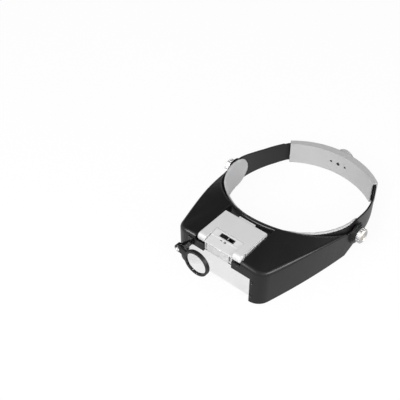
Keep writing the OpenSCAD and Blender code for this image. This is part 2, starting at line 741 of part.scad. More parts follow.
module shell_skin() {
  right = [for (p = plan_stops) shell_section(p)];
  n_half = len(right);
  sections = concat([for (i = [n_half - 1 : -1 : 1]) mirrored(right[i])], right);
  m = len(sections[0]);
  n = len(sections);
  wall_top = right[n_half - 1][1][2];
  ear_bottom = pivot_z - visor_ear_r + 0.5;
  wall = [wall_section(-18, 0, wall_top), wall_section(-10, ear_bottom * 0.5, wall_top),
          wall_section(-2, ear_bottom, wall_top - 1), wall_section(0, ear_bottom + 2, wall_top - 2)];
  w = len(wall);
  base = m * n;
  points = concat([for (s = sections) for (q = s) q], [for (s = wall) for (q = s) q],
                  [for (s = wall) for (q = mirrored(s)) q]);
  // The four corners of a wall section in order, for the end of the deck and then each wall section
  right_id = concat([[for (j = [0, 1, m - 2, m - 1]) (n - 1) * m + j]], [for (i = [0 : w - 1]) [for (j = [0 : 3]) base + 4 * i + j]]);
  left_id = concat([[0, 1, m - 2, m - 1]], [for (i = [0 : w - 1]) [for (j = [0 : 3]) base + 4 * (w + i) + j]]);
  polyhedron(points = points, faces = concat(
    [[for (j = [m - 2 : -1 : 1]) j]],
    [for (i = [0 : n - 2]) for (j = [0 : m - 1]) let (k = (j + 1) % m)
      each [[i * m + j, (i + 1) * m + k, (i + 1) * m + j], [i * m + j, i * m + k, (i + 1) * m + k]]],
    [[for (j = [1 : m - 2]) (n - 1) * m + j]],
    [for (i = [0 : w - 1]) for (j = [0 : 3]) let (a = right_id[i], b = right_id[i + 1], k = (j + 1) % 4)
      each [[a[j], b[k], b[j]], [a[j], a[k], b[k]]]],
    [for (i = [0 : w - 1]) for (j = [0 : 3]) let (a = left_id[i], b = left_id[i + 1], k = (j + 1) % 4)
      each [[a[j], b[j], b[k]], [a[j], b[k], a[k]]]],
    [right_id[w]],
    [[for (j = [3 : -1 : 0]) left_id[w][j]]]
  ));
}

// The round ear that a clamp knob presses on
module cheek() {
  translate([0, 0, pivot_z]) {
    rod_x(visor_ear_r, ear_in_x + 0.2, ear_out_x, 96);
    rod_x(boss_in_r, boss_in_x, ear_in_x + 1, 64);
    rod_x(boss_out_r, ear_out_x - 1, boss_out_x, 96);
  }
}

module lamp_recess() {
  // Space above the recess floor, from the front face back to the rim
  difference() {
    box(-recess_half_w, recess_half_w, -front_y - 10, 0, floor_top, lid_top + 20);
    translate([0, head_y, 0]) cylinder(r = rim_r + bar_t, h = tall, $fn = fine);
    both_sides() box(tab_in_x, recess_half_w + over, -front_y - 11, -pocket_y + 0.001, 0, tab_top);
  }
}

module recess_walls() {
  bottom = floor_top - floor_t - 0.2;
  both_sides() difference() {
    translate([recess_half_w + rail_t / 2, 0, 0]) side_cut(rail_t) polygon([
      [-pocket_y - 0.5, bottom], [head_y, bottom],
      [head_y - rim_r, rim_h(22) - shell_t / 2], [-pocket_y - 0.5, ridge_h(13) - shell_t / 2]]);
    translate([0, head_y, 0]) cylinder(r = rim_r + shell_t / 3, h = tall, $fn = fine);
  }
  difference() {
    box(-recess_half_w - over, recess_half_w + over, -pocket_y - 0.5, head_y, floor_top - floor_t, floor_top);
    translate([0, head_y, 0]) cylinder(r = rim_r + shell_t / 2, h = tall, $fn = fine);
    box(-tab_in_x, tab_in_x, -front_y - 5, 2 - block_rear_y, 0, tall);
  }
}

module visor_shell() {
  color(black) difference() {
    union() {
      difference() {
        shell_skin();
        lamp_recess();
      }
      recess_walls();
      both_sides() cheek();
    }
    // Front opening, and the notch above it that the lamp's window shows through
    box(-opening_half_w, opening_half_w, -front_y - 5, -pocket_y + 4, -over, opening_top);
    box(-tab_in_x, tab_in_x, -front_y - 5, -pocket_y + 0.5, opening_top - 5, lid_top);
    // Seat of the front lens
    box(-lens_half_w - 0.2, lens_half_w + 0.2, -pocket_y, -clip_y + 0.2, -over, lens_top + 0.2);
    both_sides() {
      for (z = lens_screw_zs) translate([lens_screw_x, 0, z]) {
        rod_y(screw_r + 0.05, -front_y - 2, -pocket_y + 2);
        rod_y(screw_head_r + 0.2, -front_y - 2, -front_y + 0.9);
      }
      translate([0, -lamp_axis_y, lamp_axis_z]) rod_x(pin_r + run_fit, recess_half_w - over, pin_out_x + 0.2);
      translate([0, 0, pivot_z]) rod_x(bolt_r + run_fit, boss_in_x - over, boss_out_x + over);
    }
  }
}

// Lenses
module front_lens() {
  color(clear) difference() {
    box(-lens_half_w, lens_half_w, -pocket_y + gap / 3, -lens_back_y, lens_bottom, lens_top);
    both_sides() for (z = lens_screw_zs) translate([lens_screw_x, 0, z]) rod_y(screw_r + 0.05, -front_y, -lens_back_y + over);
  }
}

module lens_clips() {
  color(black) both_sides() difference() {
    union() {
      box(clip_in_x, clip_out_x, -clip_y - clip_t, -clip_y, lens_bottom, lens_top);
      box(clip_in_x, clip_in_x + lug_t, -clip_y - over, -flip_axis_y, flip_axis_z - lug_r, flip_axis_z + lug_r - 0.4);
      translate([0, -flip_axis_y, flip_axis_z]) rod_x(lug_r - 0.4, clip_in_x, clip_in_x + lug_t);
    }
    for (z = lens_screw_zs) translate([lens_screw_x, 0, z]) rod_y(screw_r + 0.02, -clip_y - clip_t - over, -clip_y + over);
    translate([0, -flip_axis_y, flip_axis_z]) rod_x(flip_pin_r + run_fit, clip_in_x - over, clip_in_x + lug_t + over);
  }
}

module lens_screws() {
  color(black) both_sides() for (z = lens_screw_zs) translate([lens_screw_x, 0, z]) difference() {
    union() {
      rod_y(screw_head_r, -front_y - 0.2, -front_y + 0.8);
      rod_y(screw_r, -front_y + 0.5, -clip_y + 0.1);
    }
    for (a = [0, 90]) rotate([0, a, 0]) box(-1.2, 1.2, -front_y - 1, -front_y + 0.3, -0.25, 0.25);
  }
}

module flip_lens() {
  y0 = -flip_axis_y + 2.4;
  color(clear) box(-frame_half_w + 2.6, frame_half_w - 2.6, y0, -flip_axis_y + flip_lens_h,
                   flip_axis_z - flip_lens_t / 2, flip_axis_z + flip_lens_t / 2);
}

module flip_lens_frame() {
  t = flip_lens_t / 2 + 0.7;
  y0 = -flip_axis_y;
  color(black) difference() {
    union() {
      box(-frame_half_w, frame_half_w, y0, y0 + 4, flip_axis_z - t, flip_axis_z + t);
      both_sides() {
        box(frame_half_w - 4, frame_half_w, y0, y0 + flip_lens_h * 0.6, flip_axis_z - t, flip_axis_z + t);
        translate([0, y0, flip_axis_z]) rod_x(t, frame_half_w - 5, frame_half_w);
        translate([0, y0, flip_axis_z]) rod_x(flip_pin_r, frame_half_w - 1, clip_in_x + lug_t);
      }
      translate([0, y0, flip_axis_z]) rod_x(t, -frame_half_w, frame_half_w);
    }
    box(-frame_half_w + 2.55, frame_half_w - 2.55, y0 + 2.35, y0 + flip_lens_h,
        flip_axis_z - flip_lens_t / 2 - 0.03, flip_axis_z + flip_lens_t / 2 + 0.03);
  }
}

// Loupe
module loupe_bracket() {
  base_x0 = -loupe_x + 1;
  base_x1 = -recess_half_w - 1.5;
  base_z0 = opening_top + 1.5;
  base_z1 = base_z0 + 10;
  arm_x1 = -loupe_x + 6.5;
  web_r = 8.2;
  web_y = front_y + 5;
  color(black) difference() {
    union() {
      box(base_x0, base_x1, -front_y - 1.6, -front_y - 0.05, base_z0, base_z1);
      // Web that curves forward from the base to the eye
      difference() {
        box(-loupe_x + 2, arm_x1, -lug_front_y, -front_y - 0.5, loupe_z - 2.2, base_z1 - 2.5);
        translate([-loupe_x - 4, -web_y, 0]) cylinder(r = web_r, h = tall, $fn = small);
      }
      front_cut(-lug_front_y, -lug_front_y + bracket_t) union() {
        translate([-loupe_x, loupe_z]) circle(r = lug_eye_r, $fn = small);
        polygon([[-loupe_x, loupe_z - lug_eye_r], [arm_x1, loupe_z - 2.2], [arm_x1, base_z1 - 2.5],
                 [-loupe_x - 1, loupe_z + lug_eye_r]]);
      }
    }
    translate([-loupe_x, 0, loupe_z]) rod_y(loupe_pin_r + 0.02, -lug_front_y - over, -lug_front_y + bracket_t + over);
  }
}

module loupe_ring() {
  lens_seat_r = ring_r - ring_wall;
  y0 = -loupe_y - ring_t / 2;
  y1 = -loupe_y + ring_t / 2;
  arm_y0 = -loupe_y - arm_t / 2;
  arm_y1 = -loupe_y + arm_t / 2;
  color(black) difference() {
    union() {
      translate([ring_cx, 0, ring_cz]) rod_y(ring_r, y0, y1, 96);
      translate([-loupe_x, 0, loupe_z]) {
        rod_y(lug_eye_r, arm_y0, arm_y1);
        rotate([0, loupe_angle, 0]) box(0, loupe_arm - ring_r + 3, arm_y0, arm_y1, -4.4, 4.4);
      }
    }
    translate([ring_cx, 0, ring_cz]) {
      rod_y(lens_seat_r - 0.8, y0 - over, y1 + over, 96);
      rod_y(lens_seat_r, y0 + 1.2, y1 - 1.2, 96);
    }
    translate([-loupe_x, 0, loupe_z]) rod_y(loupe_pin_r + run_fit, arm_y0 - over, arm_y1 + over);
  }
}

module loupe_lens() {
  // A biconvex glass: the overlap of two large balls, cut to the seat
  lens_seat_r = ring_r - ring_wall - 0.02;
  half_edge = ring_t / 2 - 1.25;
  crown = 0.9;
  ball_r = (lens_seat_r * lens_seat_r + crown * crown) / (2 * crown);
  color(clear) translate([ring_cx, -loupe_y, ring_cz]) rotate([90, 0, 0]) rotate_extrude($fn = 96)
    polygon(concat(
      [[0, -half_edge]],
      [[0, half_edge]],
      [for (k = [0 : 6]) let (r = (lens_seat_r - 0.9) * k / 6)
        [r, half_edge + (k == 6 ? 0 : sqrt(ball_r * ball_r - r * r) - ball_r + crown * 0.9)]],
      [[lens_seat_r, half_edge], [lens_seat_r, -half_edge]]));
}

module loupe_screw() {
  y0 = -loupe_y - arm_t / 2;
  color(steel) translate([-loupe_x, 0, loupe_z]) {
    difference() {
      rod_y(2.8, y0 - loupe_head_t, y0 - 0.2);
      box(-4, 4, y0 - loupe_head_t - over, y0 - loupe_head_t + 0.5, -0.35, 0.35);
    }
    rod_y(loupe_pin_r, y0 - 1, -lug_front_y + bracket_t + 1);
  }
}

// Lamp
module tongue_side() {
  polygon([[-block_front_y, block_bottom], [-block_rear_y, block_bottom], [-block_rear_y, lid_top],
           [-block_front_y - 0.6, lid_top - tongue_drop], [-block_front_y - 0.6, lid_top - tongue_drop - 1.6],
           [-block_front_y, lid_top - tongue_drop - 1.6]]);
}

module lamp_case() {
  w = tongue_half_w;
  color(lamp_grey) difference() {
    union() {
      box(-lamp_half_w + 0.4, lamp_half_w - 0.4, -tray_front_y, -tray_rear_y, tray_bottom, tray_top);
      side_cut(2 * w) tongue_side();
    }
    // Battery space, open under the lid
    box(-lamp_half_w + 0.4 + tray_wall, lamp_half_w - 0.4 - tray_wall, -block_rear_y + tray_wall,
        -tray_rear_y - tray_wall, tray_bottom + tray_wall, tray_top + over);
    // Space for the board and lamps, open at the front
    side_cut(2 * (w - tray_wall)) polygon([
      [-block_front_y - 5, block_bottom + tray_wall], [-block_rear_y - tray_wall, block_bottom + tray_wall],
      [-block_rear_y - tray_wall, lid_top - tray_wall - 0.4],
      [-block_front_y - 5, lid_top - tongue_drop - tray_wall - 1.4]]);
    box(-window_half_w - 0.05, window_half_w + 0.05, -block_front_y - 5, -block_front_y + 0.4,
        block_bottom - over, lid_top - tongue_drop - 1.55);
    // Switch slot
    translate([0, -slot_y, lid_top]) box(-slot_half_w, slot_half_w, -slot_w / 2, slot_w / 2, -6, 3);
    translate([0, -lamp_axis_y, lamp_axis_z]) both_sides() rod_x(pin_r + run_fit, pin_in_x - 3, w + over);
  }
}

module lamp_hinge_pins() {
  color(steel) translate([0, -lamp_axis_y, lamp_axis_z]) both_sides() rod_x(pin_r, pin_in_x, pin_out_x);
}

module rolled_ear() {
  end_r = 2.4;
  rotate([0, 90, 0]) rotate_extrude($fn = 64) polygon(concat([[0, ear_in], [roll_r, ear_in]],
    [for (a = [0 : 15 : 90]) [roll_r - end_r + end_r * cos(a), lamp_half_w - end_r + end_r * sin(a)]],
    [[0, lamp_half_w]]));
}

module battery_lid() {
  tab_half_w = 11.5;
  plate_half_w = lamp_half_w - 1.2;
  color(lamp_grey) difference() {
    union() {
      box(-plate_half_w, plate_half_w, -lamp_axis_y, -lamp_rear_y, lid_bottom, lid_top);
      box(-tab_half_w, tab_half_w, -lamp_rear_y - over, -lamp_rear_y + 3, lid_bottom, lid_top - 0.4);
      box(-tab_half_w, tab_half_w, -tray_rear_y + gap, -lamp_rear_y + 3, lid_bottom - 0.8, lid_bottom + 0.5);
      both_sides() translate([0, -lamp_axis_y, lamp_axis_z]) rolled_ear();
    }
    box(-tongue_half_w - gap, tongue_half_w + gap, -lamp_axis_y - roll_r - over, -block_rear_y + 2 * gap,
        lid_bottom - over, lid_top + over);
    both_sides() translate([0, -lamp_axis_y, lamp_axis_z]) rod_x(pin_r + run_fit, ear_in - over, lamp_half_w + over);
  }
}

module lamp_window() {
  color(clear) box(-window_half_w, window_half_w, -block_front_y - window_t + 0.3, -block_front_y + 0.35,
                   block_bottom, lid_top - tongue_drop - 1.6);
}

module lamp_leds() {
  color([0.95, 0.95, 0.85, 0.7]) both_sides() translate([led_x, 0, led_z]) {
    rod_y(led_r, -board_y - led_stem, -board_y);
    translate([0, -board_y - led_stem, 0]) sphere(r = led_r, $fn = 48);
  }
}

module circuit_board() {
  top = led_z + 3.5;
  color([0.1, 0.35, 0.2]) difference() {
    box(-tongue_half_w + tray_wall + 0.2, tongue_half_w - tray_wall - 0.2, -board_y, -board_y + 1.2,
        block_bottom + tray_wall, top);
    both_sides() translate([0, -lamp_axis_y, lamp_axis_z]) rod_x(pin_r + 0.4, pin_in_x - 1, tongue_half_w + over);
  }
}

module switch_slider() {
  x = -slider_travel / 2;
  half = slot_half_w - slider_travel / 2 - 0.2;
  top = lid_top - tongue_drop * (slot_y - block_rear_y) / (block_front_y - block_rear_y);
  color(black) translate([x, -slot_y, top]) {
    box(-half, half, -slot_w / 2 + 0.2, slot_w / 2 - 0.2, -4.2, -0.6);
    for (k = [-2 : 2]) translate([k * 1.1, 0, 0]) box(-0.3, 0.3, -slot_w / 2 + 0.5, slot_w / 2 - 0.5, -0.7, 0.2);
  }
}

module batteries() {
  color([0.3, 0.32, 0.36]) for (i = [0, 1]) translate([0, -battery_ys[i], battery_z]) mirror([i, 0, 0]) {
    rod_x(battery_r, -battery_l / 2, battery_l / 2 - 1.2);
    rod_x(1.9, battery_l / 2 - 1.3, battery_l / 2);
  }
}

module battery_contacts() {
  plate_x = lamp_half_w - 0.4 - tray_wall - 0.1;
  plate_up = battery_r - 0.6;
  plate_down = battery_r - 1;
  color(steel) for (i = [0, 1]) translate([0, -battery_ys[i], battery_z]) mirror([i, 0, 0]) {
    box(plate_x - 0.5, plate_x, -battery_r + 0.6, battery_r - 0.6, -plate_down, plate_up);
    box(-plate_x, -plate_x + 0.5, -battery_r + 0.6, battery_r - 0.6, -plate_down, plate_up);
    rod_x(1.6, battery_l / 2 + 0.1, plate_x - 0.4, 24);
    for (k = [0 : 3]) translate([-plate_x + 0.4 + k * 1.7, 0, 0]) rod_x(3.6 - 0.5 * k, 0, 1.75, 24);
  }
}

// The finished part stands with its footprint centred on the origin
module placed() {
  translate([0, -frame_y, 0]) children();
}

placed() forehead_band();
placed() forehead_pad();
placed() rear_housing_inner();
placed() rear_housing_outer();
placed() housing_screws();
placed() strap_rack_left();
placed() strap_rack_right();
placed() adjuster_knob();
placed() adjuster_pinion();
placed() adjuster_screw();
placed() click_spring();
placed() pivot_bolts();
placed() friction_washers();
placed() clamp_knob_left();
placed() clamp_knob_right();
placed() knob_insert_left();
placed() knob_insert_right();
placed() visor_shell();
placed() front_lens();
placed() lens_clips();
placed() lens_screws();
placed() flip_lens();
placed() flip_lens_frame();
placed() loupe_bracket();
placed() loupe_ring();
placed() loupe_lens();
placed() loupe_screw();
placed() lamp_case();
placed() lamp_hinge_pins();
placed() battery_lid();
placed() lamp_window();
placed() lamp_leds();
placed() circuit_board();
placed() switch_slider();
placed() batteries();
placed() battery_contacts();
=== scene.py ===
# %% [markdown]
# # Lighted headband magnifier
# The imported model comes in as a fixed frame: every CAD node is already in place, in metres, and
# rides on its own body. This lesson gives each node a finish, models the soft forehead pad and
# the small trim by hand, and lights the whole like a product photograph.

# %% Load the frame
import math

import bpy
import bmesh
from mathutils import Matrix, Vector


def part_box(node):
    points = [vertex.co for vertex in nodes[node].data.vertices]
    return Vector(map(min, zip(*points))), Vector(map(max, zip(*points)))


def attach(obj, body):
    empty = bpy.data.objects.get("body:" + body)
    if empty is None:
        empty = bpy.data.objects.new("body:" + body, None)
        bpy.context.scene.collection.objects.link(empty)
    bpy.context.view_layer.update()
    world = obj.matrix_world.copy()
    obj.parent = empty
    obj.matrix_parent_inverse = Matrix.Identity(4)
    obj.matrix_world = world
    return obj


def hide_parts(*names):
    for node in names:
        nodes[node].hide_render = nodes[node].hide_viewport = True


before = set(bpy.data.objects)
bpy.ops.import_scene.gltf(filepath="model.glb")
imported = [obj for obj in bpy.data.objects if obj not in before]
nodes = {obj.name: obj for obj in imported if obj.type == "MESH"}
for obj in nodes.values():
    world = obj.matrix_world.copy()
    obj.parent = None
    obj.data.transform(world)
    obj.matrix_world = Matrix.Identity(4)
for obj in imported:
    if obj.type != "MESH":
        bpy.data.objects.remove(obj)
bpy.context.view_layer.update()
bpy.ops.object.select_all(action="DESELECT")

# %% [markdown]
# ## Where things are
# All sizes of the part were taken from the axis of its two side knobs. The left knob's box in the
# CAD gives that axis, so the camera and every new piece can be placed in plain millimetres from
# the floor under it.

# %% Places in millimetres
MM = 0.001
knob_low, knob_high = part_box("clamp_knob_left")
AXIS = Vector((0.0, (knob_low.y + knob_high.y) / 2, (knob_low.z + knob_high.z) / 2))


def at(x, y, z):
    """A place given in millimetres from the floor under the knob axis, as a vector in the frame."""
    return Vector((x * MM, AXIS.y + y * MM, z * MM))


print("knob axis at", tuple(round(c, 5) for c in AXIS))

# %% [markdown]
# ## Camera
# The photograph looks down on the front right corner. Its direction, distance and lens were
# worked out from the part's own symmetry, so they are written here as a photographer would note
# them: an azimuth, an elevation, a distance, and how far the aim lies beside the knob axis.

# %% Camera
AZIMUTH, ELEVATION = math.radians(40.5), math.radians(42.3)
DISTANCE, AIM_RIGHT, AIM_UP = 0.962, 0.1164, 0.0012
FOCAL_PX, FRAME_PX, SENSOR = 767.0, 400.0, 36.0
FAR_END = 20.0

back = Vector((math.sin(AZIMUTH) * math.cos(ELEVATION),
               -math.cos(AZIMUTH) * math.cos(ELEVATION), math.sin(ELEVATION)))
right = Vector((math.cos(AZIMUTH), math.sin(AZIMUTH), 0.0))
up = back.cross(right)

camera_data = bpy.data.cameras.new("camera")
camera_data.sensor_width = SENSOR
camera_data.lens = FOCAL_PX / FRAME_PX * SENSOR
camera_data.clip_end = FAR_END
camera = bpy.data.objects.new("camera", camera_data)
bpy.context.scene.collection.objects.link(camera)
turn = Matrix((right, up, back)).transposed().to_4x4()
stand = AXIS - AIM_RIGHT * right - AIM_UP * up + DISTANCE * back
camera.matrix_world = Matrix.Translation(stand) @ turn
bpy.context.scene.camera = camera
bpy.context.scene.view_settings.view_transform = "Standard"
print("lens", round(camera_data.lens, 1), "mm")

# %% [markdown]
# ## Background
# The picture is a cut-out on white with only a breath of shadow. World and floor are plain white
# where the camera, glass or metal looks at them; for the light that reaches the plastic they are
# dimmer, so that the lamps can shape it. The floor keeps a share of its diffuse shading, and with
# it the shadow.


# %% World
def is_seen_directly(tree):
    """A mask that is 1 for camera, glossy and transmitted rays, which all see the same white."""
    path = tree.nodes.new("ShaderNodeLightPath")
    seen = path.outputs["Is Camera Ray"]
    for kind in ("Is Glossy Ray", "Is Transmission Ray"):
        either = tree.nodes.new("ShaderNodeMath")
        either.operation = "MAXIMUM"
        tree.links.new(seen, either.inputs[0])
        tree.links.new(path.outputs[kind], either.inputs[1])
        seen = either.outputs[0]
    return seen


WORLD_LIGHT = 0.49
world = bpy.data.worlds.new("studio")
bpy.context.scene.world = world
world.use_nodes = True
wt = world.node_tree
wt.nodes.clear()
dim = wt.nodes.new("ShaderNodeBackground")
dim.inputs["Strength"].default_value = WORLD_LIGHT
white = wt.nodes.new("ShaderNodeBackground")
choose = wt.nodes.new("ShaderNodeMixShader")
world_out = wt.nodes.new("ShaderNodeOutputWorld")
for sky in (dim, white):
    sky.inputs["Color"].default_value = (1.0, 1.0, 1.0, 1.0)
wt.links.new(is_seen_directly(wt), choose.inputs["Fac"])
wt.links.new(dim.outputs[0], choose.inputs[1])
wt.links.new(white.outputs[0], choose.inputs[2])
wt.links.new(choose.outputs[0], world_out.inputs["Surface"])
print("world light", WORLD_LIGHT)

# %% Floor
FLOOR_GLOW, GLOW_STRENGTH, PAPER = 0.9, 1.03, 0.85
FLOOR_SIZE, FLOOR_DROP = 6.0, 0.4 * MM
bpy.ops.mesh.primitive_plane_add(size=FLOOR_SIZE, location=(0.0, 0.0, -FLOOR_DROP))
floor = bpy.context.active_object
floor.name = "floor"
floor_mat = bpy.data.materials.new("white_floor")
floor_mat.use_nodes = True
ft = floor_mat.node_tree
ft.nodes.clear()
paper = ft.nodes.new("ShaderNodeBsdfDiffuse")
paper.inputs["Color"].default_value = (PAPER, PAPER, PAPER, 1.0)
glow = ft.nodes.new("ShaderNodeEmission")
glow.inputs["Strength"].default_value = GLOW_STRENGTH
share = ft.nodes.new("ShaderNodeMath")
share.operation = "MULTIPLY"
share.inputs[1].default_value = FLOOR_GLOW
mix = ft.nodes.new("ShaderNodeMixShader")
floor_out = ft.nodes.new("ShaderNodeOutputMaterial")
ft.links.new(is_seen_directly(ft), share.inputs[0])
ft.links.new(share.outputs[0], mix.inputs["Fac"])
ft.links.new(paper.outputs[0], mix.inputs[1])
ft.links.new(glow.outputs[0], mix.inputs[2])
ft.links.new(mix.outputs[0], floor_out.inputs["Surface"])
floor.data.materials.append(floor_mat)
bpy.ops.object.select_all(action="DESELECT")
print("floor", FLOOR_SIZE, "m wide")

# %% [markdown]
# ## Lamps and a black card
# The photograph is lit from the camera's side: faces that look forward are brighter than those
# that look up, and the black deck of the visor mirrors something dark. Photographers get that
# with a black card behind the object, out of the picture. Here the card is a sheet that only
# reflections can see. Two of the four lamps are there for reflections alone too: they draw the
# glints along the rounded edges and put no light on the faces.


# %% Lamps and card
def aimed(place, aim):
    """The matrix of a lamp or sheet that stands at a place and faces a point."""
    facing = (Vector(aim) - Vector(place)).to_track_quat("-Z", "Y")
    return Matrix.Translation(place) @ facing.to_matrix().to_4x4()


def softbox(name, place, aim, size, watts, glints_only=False):
    """A square area lamp, its size in metres, that may light reflections alone."""
    data = bpy.data.lights.new(name, "AREA")
    data.shape = "SQUARE"
    data.size = size
    data.energy = watts
    lamp = bpy.data.objects.new(name, data)
    bpy.context.scene.collection.objects.link(lamp)
    lamp.matrix_world = aimed(place, aim)
    lamp.visible_diffuse = not glints_only


MIDDLE = (0.0, 0.0, 0.03)
softbox("key", (0.1, -1.1, 0.8), MIDDLE, 0.6, 9.0)
softbox("side", (1.0, -0.3, 0.45), MIDDLE, 0.5, 3.0)
softbox("front_glint", (-0.58, -0.78, 0.65), MIDDLE, 0.3, 16.0, glints_only=True)
softbox("ridge_glint", (1.02, 0.3, 0.55), MIDDLE, 0.3, 13.0, glints_only=True)

CARD_SIZE = 2.4
CARD_PLACE = Vector((-0.52, 0.62, 0.74)) * 1.3
bpy.ops.mesh.primitive_plane_add(size=CARD_SIZE)
card = bpy.context.active_object
card.name = "black_card"
card.matrix_world = aimed(CARD_PLACE, MIDDLE)
card.visible_camera = card.visible_diffuse = False
card.visible_shadow = card.visible_transmission = False
card_mat = bpy.data.materials.new("black_card")
card_mat.use_nodes = True
velvet = card_mat.node_tree.nodes["Principled BSDF"]
velvet.inputs["Base Color"].default_value = (0.02, 0.02, 0.02, 1.0)
velvet.inputs["Roughness"].default_value = 0.9
card.data.materials.append(card_mat)
bpy.ops.object.select_all(action="DESELECT")
print("4 lamps and a card")

# %% [markdown]
# ## Grain and edges
# Almost everything here is moulded plastic. A mould leaves a fine spark-eroded grain and slightly
# uneven gloss. Sharp edges get a rounded normal, and near them the colour is raised: a painted
# highlight where the light catches the edge. Both effects are used by many finishes, so each is
# one shader group, built once, with its own numbers in every material.
# Narrow seams get painted shade from a third group, driven by ambient occlusion.


# %% Moulded grain group
def socket(group, name, kind, way, value=None):
    """A named input or output of a shader group."""
    made = group.interface.new_socket(name, in_out=way, socket_type="NodeSocket" + kind)
    if value is not None:
        made.default_value = value


def moulded_grain_group():
    """Noise for grain height, uneven roughness and a faint cloud in the shade."""
    group = bpy.data.node_groups.new("moulded_grain", "ShaderNodeTree")
    for name, value in (("Scale", 2500.0), ("Low gloss", 0.3), ("High gloss", 0.4),
                        ("Shade low", 0.93)):
        socket(group, name, "Float", "INPUT", value)
    for name in ("Height", "Roughness", "Shade"):
        socket(group, name, "Float", "OUTPUT")
    n, link = group.nodes, group.links
    gin, gout = n.new("NodeGroupInput"), n.new("NodeGroupOutput")
    coord = n.new("ShaderNodeTexCoord")
    grain = n.new("ShaderNodeTexNoise")
    grain.inputs["Detail"].default_value = 3.0
    cloud = n.new("ShaderNodeTexNoise")
    cloud.inputs["Scale"].default_value = 45.0
    cloud.inputs["Detail"].default_value = 4.0
    gloss, shade = n.new("ShaderNodeMapRange"), n.new("ShaderNodeMapRange")
    link.new(coord.outputs["Object"], grain.inputs["Vector"])
    link.new(coord.outputs["Object"], cloud.inputs["Vector"])
    link.new(gin.outputs["Scale"], grain.inputs["Scale"])
    link.new(cloud.outputs["Fac"], gloss.inputs["Value"])
    link.new(gin.outputs["Low gloss"], gloss.inputs["To Min"])
    link.new(gin.outputs["High gloss"], gloss.inputs["To Max"])
    link.new(cloud.outputs["Fac"], shade.inputs["Value"])
    link.new(gin.outputs["Shade low"], shade.inputs["To Min"])
    link.new(grain.outputs["Fac"], gout.inputs["Height"])
    link.new(gloss.outputs["Result"], gout.inputs["Roughness"])
    link.new(shade.outputs["Result"], gout.inputs["Shade"])
    return group


# %% Edge normal and painted highlight group
def rounded_edge_highlight_group():
    """A rounded normal at sharp edges, and a mask of how close an edge is, which sets a painted
    highlight.
    """
    group = bpy.data.node_groups.new("rounded_edge_highlight", "ShaderNodeTree")
    socket(group, "Radius", "Float", "INPUT", 0.0004)
    socket(group, "Normal", "Vector", "OUTPUT")
    socket(group, "Mask", "Float", "OUTPUT")
    n, link = group.nodes, group.links
    gin, gout = n.new("NodeGroupInput"), n.new("NodeGroupOutput")
    bevel = n.new("ShaderNodeBevel")
    bevel.samples = 4
    surface = n.new("ShaderNodeNewGeometry")
    same = n.new("ShaderNodeVectorMath")
    same.operation = "DOT_PRODUCT"
    near = n.new("ShaderNodeMapRange")
    near.inputs["From Min"].default_value = 0.995
    near.inputs["From Max"].default_value = 0.85
    link.new(gin.outputs["Radius"], bevel.inputs["Radius"])
    link.new(bevel.outputs["Normal"], same.inputs[0])
    link.new(surface.outputs["Normal"], same.inputs[1])
    link.new(same.outputs["Value"], near.inputs["Value"])
    link.new(bevel.outputs["Normal"], gout.inputs["Normal"])
    link.new(near.outputs["Result"], gout.inputs["Mask"])
    return group


# %% Seam shade group
def seam_shade_group():
    """A mask that is 1 in the open and falls in narrow seams: painted shade from ambient occlusion.
    """
    group = bpy.data.node_groups.new("seam_shade", "ShaderNodeTree")
    socket(group, "Width", "Float", "INPUT", 0.001)
    socket(group, "Darkest", "Float", "INPUT", 0.5)
    socket(group, "Unshaded", "Float", "OUTPUT")
    n, link = group.nodes, group.links
    gin, gout = n.new("NodeGroupInput"), n.new("NodeGroupOutput")
    covered = n.new("ShaderNodeAmbientOcclusion")
    covered.samples = 6
    fade = n.new("ShaderNodeMapRange")
    fade.inputs["From Min"].default_value = 0.25
    fade.inputs["From Max"].default_value = 0.6
    link.new(gin.outputs["Width"], covered.inputs["Distance"])
    link.new(covered.outputs["AO"], fade.inputs["Value"])
    link.new(gin.outputs["Darkest"], fade.inputs["To Min"])
    link.new(fade.outputs["Result"], gout.inputs["Unshaded"])
    return group


GRAIN, EDGE, SEAM = moulded_grain_group(), rounded_edge_highlight_group(), seam_shade_group()
print("shader groups", GRAIN.name, EDGE.name, SEAM.name)
